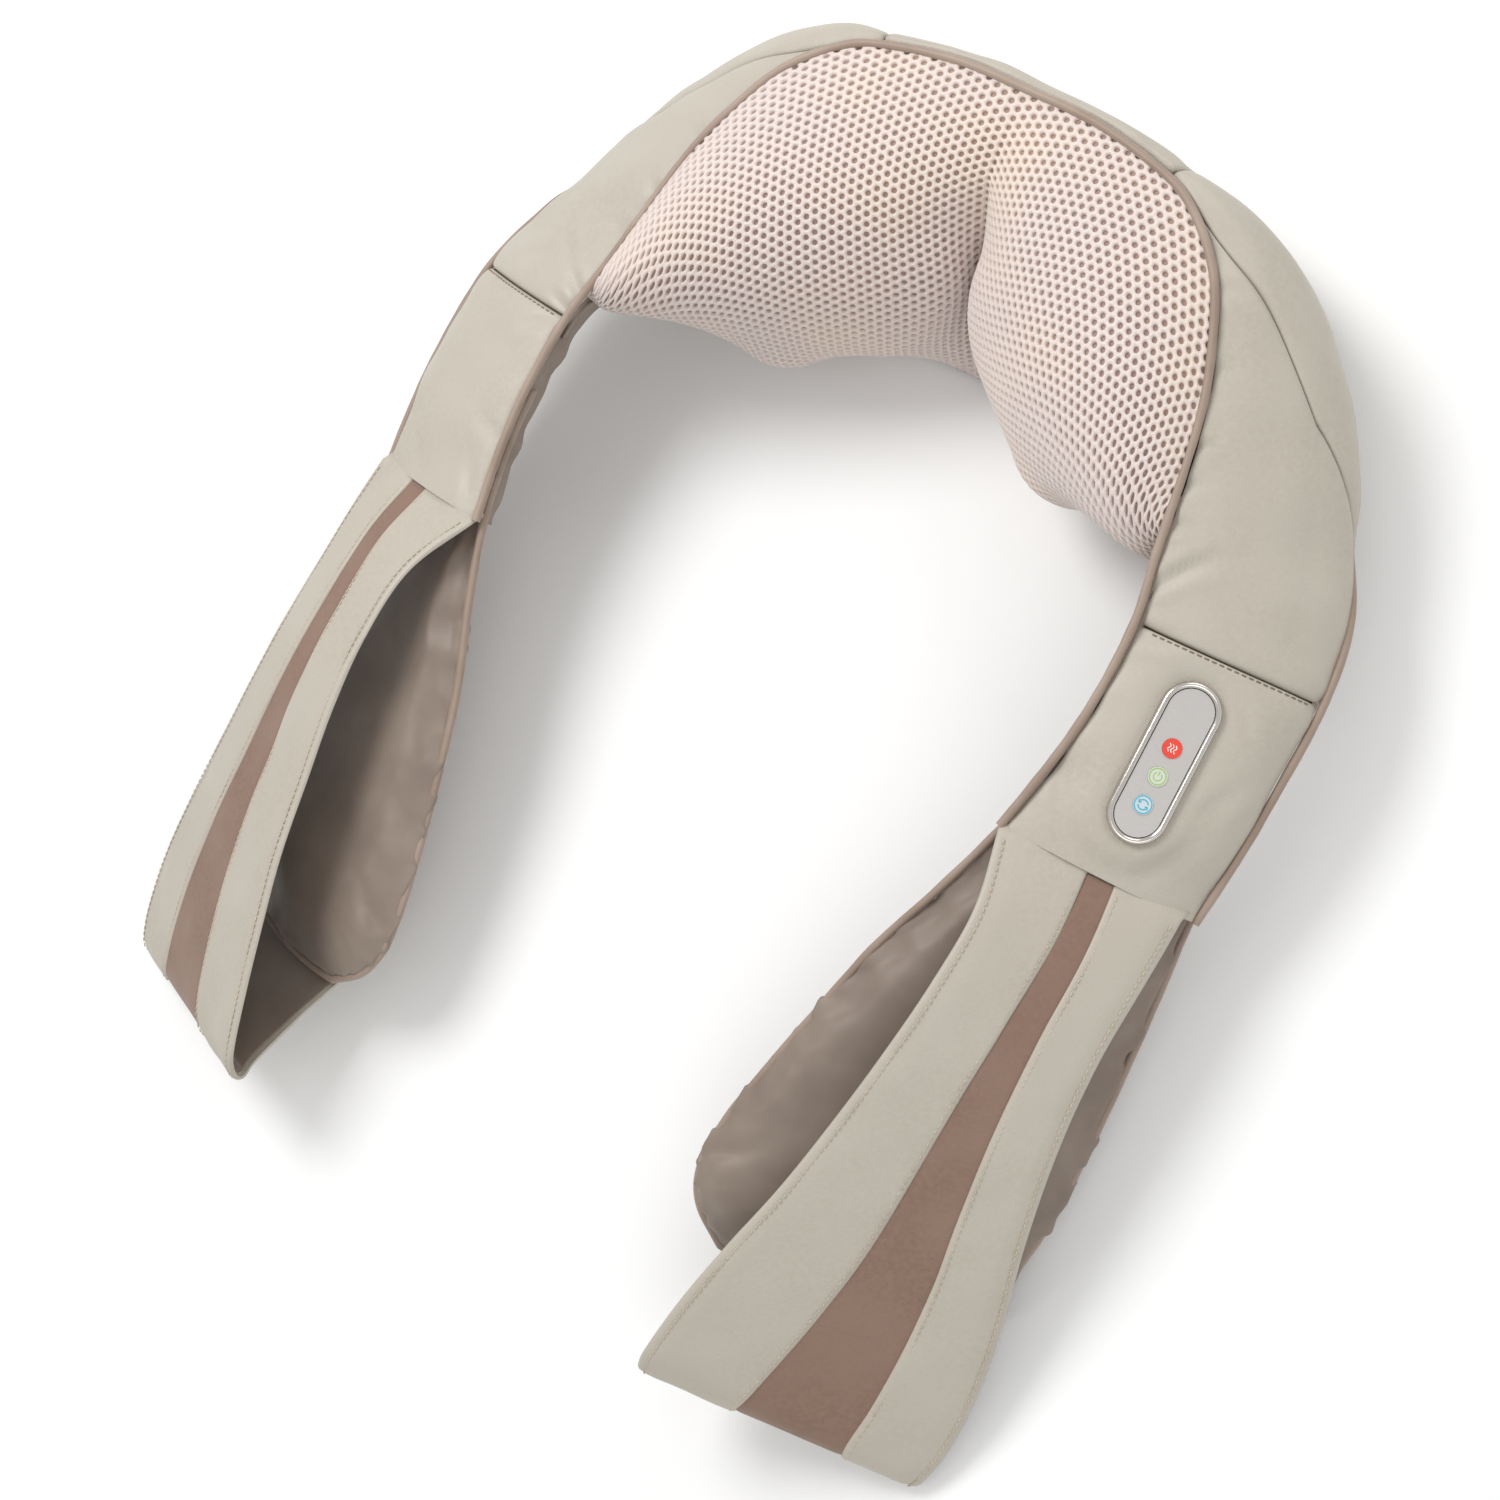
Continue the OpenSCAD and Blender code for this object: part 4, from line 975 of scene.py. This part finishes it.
def make_cover():
    p = cover_surface()
    grid = slope(p)
    normals = grid_normals(grid)
    if normals[60, 30, 2] < 0:
        normals = -normals
    flat = flattened(p)
    n, m = p.shape[:2]
    cells = grid_faces(n, m)
    triangles = np.concatenate([cells[:, [0, 1, 2]], cells[:, [0, 2, 3]]])
    flat3 = np.concatenate([flat.reshape(-1, 2), np.zeros((n * m, 1))], 1)
    tree = BVHTree.FromPolygons([Vector(v) for v in flat3], [tuple(int(i) for i in t) for t in triangles])
    points, ups = grid.reshape(-1, 3), normals.reshape(-1, 3)
    verts, index = [], {}

    def surface_point(a, b, depth):
        key = (round(a * 50), round(b * 50), depth)
        if key in index:
            return index[key]
        spot, _, face, _ = tree.find_nearest(Vector((a, b, 0)))
        corners = [Vector(flat3[i]) for i in triangles[face]]
        here = barycentric_transform(spot, *corners, *[Vector(points[i]) for i in triangles[face]])
        up = barycentric_transform(spot, *corners, *[Vector(ups[i]) for i in triangles[face]])
        verts.append(np.array(here) - unit(np.array(up)) * depth)
        index[key] = len(verts) - 1
        return index[key]

    low, high = flat.reshape(-1, 2).min(0), flat.reshape(-1, 2).max(0)
    step_x = PITCH * math.sqrt(3) / 2
    faces = []
    angles = np.arange(12) * math.pi / 6
    hexagon = PITCH / 2 / np.cos((angles + math.pi / 6) % (math.pi / 3) - math.pi / 6)
    levels = ((hexagon, 0.0), (np.full(12, HOLE_R * HOLE_FLARE), FLARE_DEPTH), (np.full(12, HOLE_R), NET_T))
    for i in range(int(low[0] / step_x) - 1, int(high[0] / step_x) + 2):
        for k in range(int(low[1] / PITCH) - 1, int(high[1] / PITCH) + 2):
            a, b = i * step_x, (k + (i % 2) / 2) * PITCH
            away = tree.find_nearest(Vector((a, b, 0)))[3]
            if away > 0.4 * PITCH:
                continue
            rings = []
            for radii, depth in levels:
                rings.append([surface_point(a + r * math.cos(t + math.pi / 6),
                                            b + r * math.sin(t + math.pi / 6), depth)
                              for t, r in zip(angles, radii)])
            for first, second in zip(rings, rings[1:]):
                for s in range(12):
                    e = (s + 1) % 12
                    faces.append((first[s], first[e], second[e], second[s]))
    net = add_mesh("mesh_net", row(np.array(verts)), faces, NET, sharp=0)
    settle(net, replaces=["mesh_cover"])
    # The backing slab seen through the holes carries painted shade of the holes' depth in its colour.
    back = slab("mesh_backing", grid - normals * NET_T, grid - normals * (NET_T + BACKING_T), SHADED_NET_BACK)
    settle(back)


make_cover()


# ---------------------------------------------------------------- pads
PAD_END = len(PAD) - 1
PAD_START = 0.85
VOXEL = 4 * MM
PRESSURE_FRAMES = 20
CLOTH = {
    "quality": 5, "mass": 0.3, "tension_stiffness": 12, "compression_stiffness": 12,
    "bending_stiffness": 0.6, "use_pressure": True, "uniform_pressure_force": 4,
}


def pad_section(s, u):
    """Upper and lower surface points of the right pad at stations s and shares u across. The
    pad swells as cloth, so its padding starts smaller."""
    edges = curve(PAD, s)
    inner, outer = edges[:, 0], edges[:, 1]
    free = np.clip((s - 4) / 3, 0, 1)[:, None]
    end = np.clip((12.4 - s) / 2.2, 0.3, 1)[:, None]
    base = inner[:, None] + (outer - inner)[:, None] * u[None, :, None]
    hump = np.sin(math.pi * np.clip(u, 0, 1))[None, :] ** 0.6
    base[..., 1] -= 3 * np.clip(s - 11, 0, 1)[:, None] * np.sin(math.pi * np.clip(u, 0, 1))[None, :]
    top, low = base.copy(), base.copy()
    top[..., 2] += 2.4 + (1 + 7 * free) * hump * end * PAD_START
    low[..., 2] -= 2.4 + 7 * hump * end * PAD_START
    return top, low


def make_pad(name, side):
    s = np.linspace(0, PAD_END, 66)
    u = np.concatenate([[-0.028, 0.0, 0.04], np.linspace(0.08, 0.92, 22), [0.96, 1.0, 1.028]])
    top, low = pad_section(s, u)
    pad = slab(f"{name}_pad_cushion", top * [side, 1, 1], low * [side, 1, 1], SATIN, sharp=0)
    inflate(pad, side)
    pucker_pad(pad, side)
    return pad


def inflate(obj, side):
    """Blows the pad up as cloth, with its movement capped, least under the arm."""
    scene = bpy.context.scene
    bpy.context.view_layer.objects.active = obj
    for other in bpy.context.selected_objects:
        other.select_set(False)
    obj.select_set(True)
    remesh = obj.modifiers.new("remesh", "REMESH")
    remesh.mode = "VOXEL"
    remesh.voxel_size = VOXEL
    bpy.ops.object.modifier_apply(modifier=remesh.name)
    rest = np.array([v.co for v in obj.data.vertices])
    cloth = obj.modifiers.new("cloth", "CLOTH")
    for setting, value in CLOTH.items():
        setattr(cloth.settings, setting, value)
    cloth.settings.effector_weights.gravity = 0
    cloth.point_cache.frame_start, cloth.point_cache.frame_end = 1, PRESSURE_FRAMES
    for number in range(1, PRESSURE_FRAMES + 1):
        scene.frame_set(number)
    bpy.ops.object.modifier_apply(modifier=cloth.name)
    scene.frame_set(1)
    now = np.array([v.co for v in obj.data.vertices])
    move = now - rest
    place = to_rim(rest)
    path, _ = resample(pad_outline(side), 3.0)
    inside = np.linalg.norm(place[:, None, :2] - path[None, :, :2], axis=-1).min(1)
    move[:, :2] *= (0.6 * smooth_step((inside - 4) / 30))[:, None]
    move[:, 2] *= 0.25 + 0.75 * smooth_step(inside / 12)
    cap = (1.0 + 6.0 * smooth_step((-262 - place[:, 1]) / 40)) * MM
    size = np.linalg.norm(move, axis=1)
    scale = np.minimum(1, cap / np.maximum(size, 1e-9))
    obj.data.vertices.foreach_set("co", (rest + move * scale[:, None]).ravel())
    finer = obj.modifiers.new("finer", "SUBSURF")
    finer.levels = finer.render_levels = 1
    bpy.ops.object.modifier_apply(modifier=finer.name)
    obj.data.shade_smooth()


def to_rim(points):
    """Points of the row frame in metres as points of the rim frame in mm."""
    p = np.asarray(points, float) / MM - [0, RIM_BACK, RIM_HEIGHT]
    c, s = math.cos(RIM_TILT), math.sin(RIM_TILT)
    return np.stack([p[..., 0], p[..., 1] * c + p[..., 2] * s, -p[..., 1] * s + p[..., 2] * c], -1)


def pad_outline(side, first=0):
    """The pad's edge from its inner start round the end to its outer start."""
    s = np.linspace(first, PAD_END, 120)
    edges = curve(PAD, s)
    end = edges[-1, 0] + (edges[-1, 1] - edges[-1, 0]) * np.linspace(0.1, 0.9, 10)[:, None]
    end[:, 1] -= 2.5 * np.sin(math.pi * np.linspace(0.1, 0.9, 10))
    path = np.concatenate([edges[:, 0], end, edges[::-1, 1]])
    return path * [side, 1, 1]


def pucker_pad(obj, side):
    """Small gathers in the cloth along the piping, and a few soft folds."""
    mesh = obj.data
    co = np.array([v.co for v in mesh.vertices])
    normal = np.array([v.normal for v in mesh.vertices])
    p = to_rim(co)
    path, at = resample(pad_outline(side), 2.0)
    gap = np.linalg.norm(p[:, None, :2] - path[None, :, :2], axis=-1)
    nearest = gap.argmin(1)
    away, where = gap.min(1), at[nearest]
    gather = np.sin(where / 3.1 + 1.7 * np.sin(where / 17)) * np.exp(-away / 7) * smooth_step(away / 4)
    sink = 0.55 * gather + 0.5 * waves(p, 42, 31 + side) + 0.3 * np.exp(-away / 2.5)
    mesh.vertices.foreach_set("co", (co - normal * sink[:, None] * MM).ravel())
    mesh.update()


# The pad's middle line, and where its rounded end begins
PAD_MIDDLE_X, PAD_ROUND_Y = 152, -440
for name, side in SIDES.items():
    pad = make_pad(name, side)
    settle(pad, replaces=[f"{name}_pad"])
    outline = pad_outline(side, 2.0)
    away = outline - [side * PAD_MIDDLE_X, 0, 0]
    away[:, 1] = np.minimum(outline[:, 1] - PAD_ROUND_Y, 0)
    away[:, 2] = 0
    path = outline + unit(away) * 0.4 + [0, 0, -0.3]
    path, _ = resample(path, 2.2)
    settle(tube(f"{name}_pad_piping_cord", path, PIPING_R * (1 + 0.05 * waves(path, 9, 14)), PIPING),
           replaces=[f"{name}_pad_piping"])

# ---------------------------------------------------------------- straps
STRAP_END = len(STRAP) - 1
STRAP_T = 2.2
STRIPE_FROM, STRIPE_TO = np.array([0.48, 0.63]), np.array([0.35, 0.73])
HEM = 3.2


def strap_edges(s):
    """Inner and outer edge; the outer one starts as wide as the puffed arm above it."""
    edges = curve(STRAP, s)
    edges[:, 1] += np.array([3.0, 0, 0]) * (1 - smooth_step(s / 2.0))[:, None]
    return edges[:, 0], edges[:, 1]


def strap_normals(s):
    a0, a1 = strap_edges(np.clip(s - 0.05, 0, STRAP_END))
    b0, b1 = strap_edges(np.clip(s + 0.05, 0, STRAP_END))
    inner, outer = strap_edges(s)
    return -unit(np.cross(outer - inner, (b0 + b1 - a0 - a1)))


def stripe_share(s):
    t = np.minimum(s / STRAP_FOLD, 1)[:, None]
    return STRIPE_FROM + (STRIPE_TO - STRIPE_FROM) * t


def strap_point(s, u, h):
    inner, outer = strap_edges(s)
    swell = 1.2 * np.sin(math.pi * np.clip(u, 0, 1)) ** 0.8 * (1 - smooth_step(s / 1.3))[:, None]
    return (inner[:, None] + (outer - inner)[:, None] * u[..., None]
            + strap_normals(s)[:, None] * (h + swell)[..., None])


def strap_columns(s):
    """Shares across the strap, gathered at its edges and at the stripe's."""
    inner, outer = strap_edges(s)
    width = np.linalg.norm(outer - inner, axis=1)[:, None]
    stripe = stripe_share(s)
    part = np.array([0, 0.02, 0.05, 0.1, 0.2, 0.35, 0.5, 0.65, 0.8, 0.9, 0.95, 0.98, 1])
    first = stripe[:, :1] * part[None, :]
    second = stripe[:, :1] + (stripe[:, 1:] - stripe[:, :1]) * part[None, 1:]
    third = stripe[:, 1:] + (1 - stripe[:, 1:]) * part[None, 1:]
    return np.concatenate([first, second, third], 1), width


def make_strap(name, side):
    flip = np.array([side, 1, 1])
    s = np.linspace(0, STRAP_END, 190)
    u, width = strap_columns(s)
    stripe = stripe_share(s)
    from_edge = np.minimum(u, 1 - u) * width
    from_stripe = np.minimum(np.abs(u - stripe[:, :1]), np.abs(u - stripe[:, 1:])) * width
    inside = (u > stripe[:, :1]) & (u < stripe[:, 1:])
    base = strap_point(s, u, np.zeros_like(u)) * flip
    puff = 0.8 * smooth_step(from_edge / 7) + 0.25 * waves(base, 30, 41 + side)
    puff -= 0.9 * np.exp(-from_edge / 0.7) + 0.7 * np.exp(-from_stripe / 0.8)
    puff -= 0.45 * np.exp(-((from_edge - HEM) / 0.9) ** 2)
    h = np.where(inside, 0.7, STRAP_T + puff)
    top = strap_point(s, u, h) * flip
    low = strap_point(s, u, np.full_like(u, 0.2)) * flip
    top = np.concatenate([top[:1] + [0, 5, -6], top])
    low = np.concatenate([low[:1] + [0, 5, -6.5], low])
    settle(slab(f"{name}_strap_leather", top, low, LEATHER, sharp=70),
           replaces=[f"{name}_strap"])
    lining_u = np.linspace(0.03, 0.97, 20)[None, :].repeat(len(s), 0)
    lining_h = 0.12 * waves(strap_point(s, lining_u, np.zeros_like(lining_u)), 20, 43)
    settle(slab(f"{name}_strap_lining_satin", strap_point(s, lining_u, lining_h + 0.4) * flip,
                strap_point(s, lining_u, lining_h - 0.7) * flip, SATIN),
           replaces=[f"{name}_strap_lining"])
    stripe_s = np.linspace(0.02, 11.5, 170)
    share = stripe_share(stripe_s)
    part = np.array([0, 0.015, 0.04, 0.08] + list(np.linspace(0.14, 0.86, 9)) + [0.92, 0.96, 0.985, 1])
    su = share[:, :1] + (share[:, 1:] - share[:, :1]) * part[None, :]
    edge = np.minimum(part, 1 - part)[None, :] * (share[:, 1:] - share[:, :1]) * 90
    sh = STRAP_T - 0.3 * np.exp(-edge / 0.8) + 0.12 * waves(strap_point(stripe_s, su, su * 0), 26, 47)
    settle(slab(f"{name}_stripe_leather", strap_point(stripe_s, su, sh) * flip,
                strap_point(stripe_s, su, np.full_like(su, 0.5)) * flip, STRIPE, sharp=70),
           replaces=[f"{name}_strap_stripe"])
    runs = []
    stitch_s = np.linspace(0.1, 9.6, 260)
    inner, outer = strap_edges(stitch_s)
    across = np.linalg.norm(outer - inner, axis=1)
    share = stripe_share(stitch_s)
    normals = strap_normals(stitch_s) * flip
    for place, height in ((HEM / across, 0.5), (1 - HEM / across, 0.5),
                          (share[:, 0] - 2.2 / across, 0.72), (share[:, 1] + 2.2 / across, 0.72)):
        lift = np.full((len(stitch_s), 1), STRAP_T + height)
        runs.append((strap_point(stitch_s, place[:, None], lift)[:, 0] * flip, normals))
    settle(stitches(f"{name}_strap_stitches", runs, THREAD))


for name, side in SIDES.items():
    make_strap(name, side)


# ---------------------------------------------------------------- control panel
def stadium_path(length, width, count=26):
    """Points round a stadium outline, in the control panel's own plane."""
    r, h = width / 2, (length - width) / 2
    a = np.linspace(0, math.pi, count)
    top = np.stack([r * np.cos(a), h + r * np.sin(a)], -1)
    return np.concatenate([top, -top])


def sweep_ring(name, profile, length, width, material):
    """A ring whose section is a list of insets from the outline and heights."""
    rings = []
    for inset, height in profile:
        path = stadium_path(length - 2 * inset, width - 2 * inset)
        rings.append(np.concatenate([path, np.full((len(path), 1), height)], 1))
    count, n = len(rings), len(rings[0])
    verts = row(from_control(np.concatenate(rings)))
    faces = [(a * n + k, a * n + (k + 1) % n, ((a + 1) % count) * n + (k + 1) % n, ((a + 1) % count) * n + k)
             for a in range(count) for k in range(n)]
    return add_mesh(name, verts, faces, material, sharp=70)


bezel_profile = [(0, -1.2), (0, 0.6), (0.15, 1.3), (0.5, 2.0), (1.0, 2.35), (1.5, 2.4), (2.0, 2.25),
                 (2.45, 1.9), (2.7, 1.5), (2.8, 0.9), (2.8, -1.2)]
settle(sweep_ring("bezel_ring", bezel_profile, BEZEL_L, BEZEL_W, CHROME),
       replaces=["control_bezel"])


def flat_stroke(points, width, height, thickness=0.12):
    """Faces of a thin inlaid stroke along points of the control plane."""
    points = np.asarray(points, float)
    way = unit(np.gradient(points, axis=0))
    side = np.stack([-way[:, 1], way[:, 0]], -1) * width / 2
    n = len(points)
    rows = [np.concatenate([points + side * k, np.full((n, 1), height + z)], 1)
            for k, z in ((-1, -thickness), (-1, 0), (1, 0), (1, -thickness))]
    verts = np.concatenate(rows)
    faces = [(a * n + i, a * n + i + 1, ((a + 1) % 4) * n + i + 1, ((a + 1) % 4) * n + i)
             for a in range(4) for i in range(n - 1)]
    faces += [(0, n, 2 * n, 3 * n), (n - 1, 4 * n - 1, 3 * n - 1, 2 * n - 1)]
    return verts, faces


def arc(radius, start, end, count):
    a = np.radians(np.linspace(start, end, count))
    return np.stack([radius * np.cos(a), radius * np.sin(a)], -1)


def icon(name, centre_y, strokes, body, material):
    verts, faces = [], []
    for points, width in strokes:
        v, f = flat_stroke(points, width, BUTTON_TOP + 0.06)
        v[:, 1] += centre_y
        faces += [tuple(i + len(verts) for i in g) for g in f]
        verts += list(v)
    obj = add_mesh(name, row(from_control(np.array(verts))), faces, material, sharp=30)
    settle(obj, body)


wave_y = np.linspace(-1.7, 1.7, 20)
heat_strokes = [(np.stack([x + 0.38 * np.sin(wave_y * 2.6), wave_y], -1), 0.36) for x in (-1.3, 0, 1.3)]
icon("heat_icon", 6.5, heat_strokes, "heat_button", WHITE_INK)
power_strokes = [(arc(3.3, 0, 360, 49), 0.5), (arc(1.7, -235, 55, 30), 0.42),
                 (np.array([[0, 0.4], [0, 2.2]]), 0.42)]
icon("power_icon", -6.0, power_strokes, "power_button", GREEN_INK)
turn_strokes = [(arc(3.5, 0, 360, 49), 0.45), (arc(2.0, 20, 150, 20), 0.5), (arc(2.0, 200, 330, 20), 0.5)]
for angle in (150, 330):
    tip = arc(2.0, angle + 24, angle + 24, 1)[0]
    for radius in (1.25, 2.75):
        turn_strokes.append((np.stack([arc(radius, angle - 2, angle - 2, 1)[0], tip]), 0.5))
icon("direction_icon", -18.5, turn_strokes, "direction_button", BLUE_INK)

for node in ("heat_button", "power_button", "direction_button", "control_face", "rear_housing", "gearbox"):
    bevel = frame["nodes"][node].modifiers.new("soft_edge", "BEVEL")
    bevel.width = 0.25 * MM
    bevel.segments = 2
    bevel.limit_method = "ANGLE"
    bevel.angle_limit = math.radians(50)
for node in ("left_heads", "right_heads", "left_heat_lamp", "right_heat_lamp", "control_lead", "inlet_lead"):
    frame["nodes"][node].data.shade_smooth()

# ---------------------------------------------------------------- stage, light and camera
floor_size = 6.0
bpy.ops.mesh.primitive_plane_add(size=floor_size, location=(0, 0, cad_low[2] - 0.0005))
floor = bpy.context.object
floor.name = "floor"
floor_look = Look("pale_floor", roughness=0.9)
floor_look.colour(floor_look.blend(floor_look.noise(3, 2), (240, 240, 239), (236, 236, 235)))
floor.data.materials.append(floor_look.material)

world = bpy.data.worlds.new("studio")
bpy.context.scene.world = world
world.use_nodes = True
world.node_tree.nodes["Background"].inputs["Color"].default_value = (1, 1, 1, 1)
world.node_tree.nodes["Background"].inputs["Strength"].default_value = 0.72
bpy.context.scene.view_settings.view_transform = "Standard"


def area_light(name, place, aim, size, power, colour=(1, 1, 1)):
    data = bpy.data.lights.new(name, "AREA")
    data.shape, data.size, data.energy, data.color = "DISK", size, power, colour
    lamp = bpy.data.objects.new(name, data)
    lamp.location = place
    lamp.rotation_euler = (Vector(aim) - Vector(place)).to_track_quat("-Z", "Y").to_euler()
    bpy.context.scene.collection.objects.link(lamp)


area_light("key_light", (-0.75, 0.35, 1.5), (0, 0.05, 0.05), 0.8, 16)
area_light("fill_light", (1.0, -0.7, 1.3), (0, 0, 0.05), 1.2, 5)
area_light("back_light", (0.3, 1.3, 0.9), (0, 0.1, 0.08), 0.9, 4)

CAMERA_AT = (0.4914, -0.0299, 1.1614)
CAMERA_RIGHT = Vector((0.7898, 0.5088, -0.3428))
CAMERA_UP = Vector((-0.4686, 0.8609, 0.1979))
camera_data = bpy.data.cameras.new("camera")
camera_data.lens, camera_data.sensor_width = 67.2, 36
camera = bpy.data.objects.new("camera", camera_data)
back = CAMERA_RIGHT.cross(CAMERA_UP).normalized()
turn = Matrix((CAMERA_RIGHT, back.cross(CAMERA_RIGHT), back)).transposed()
camera.matrix_world = Matrix.Translation(CAMERA_AT) @ turn.to_4x4()
bpy.context.scene.collection.objects.link(camera)
bpy.context.scene.camera = camera
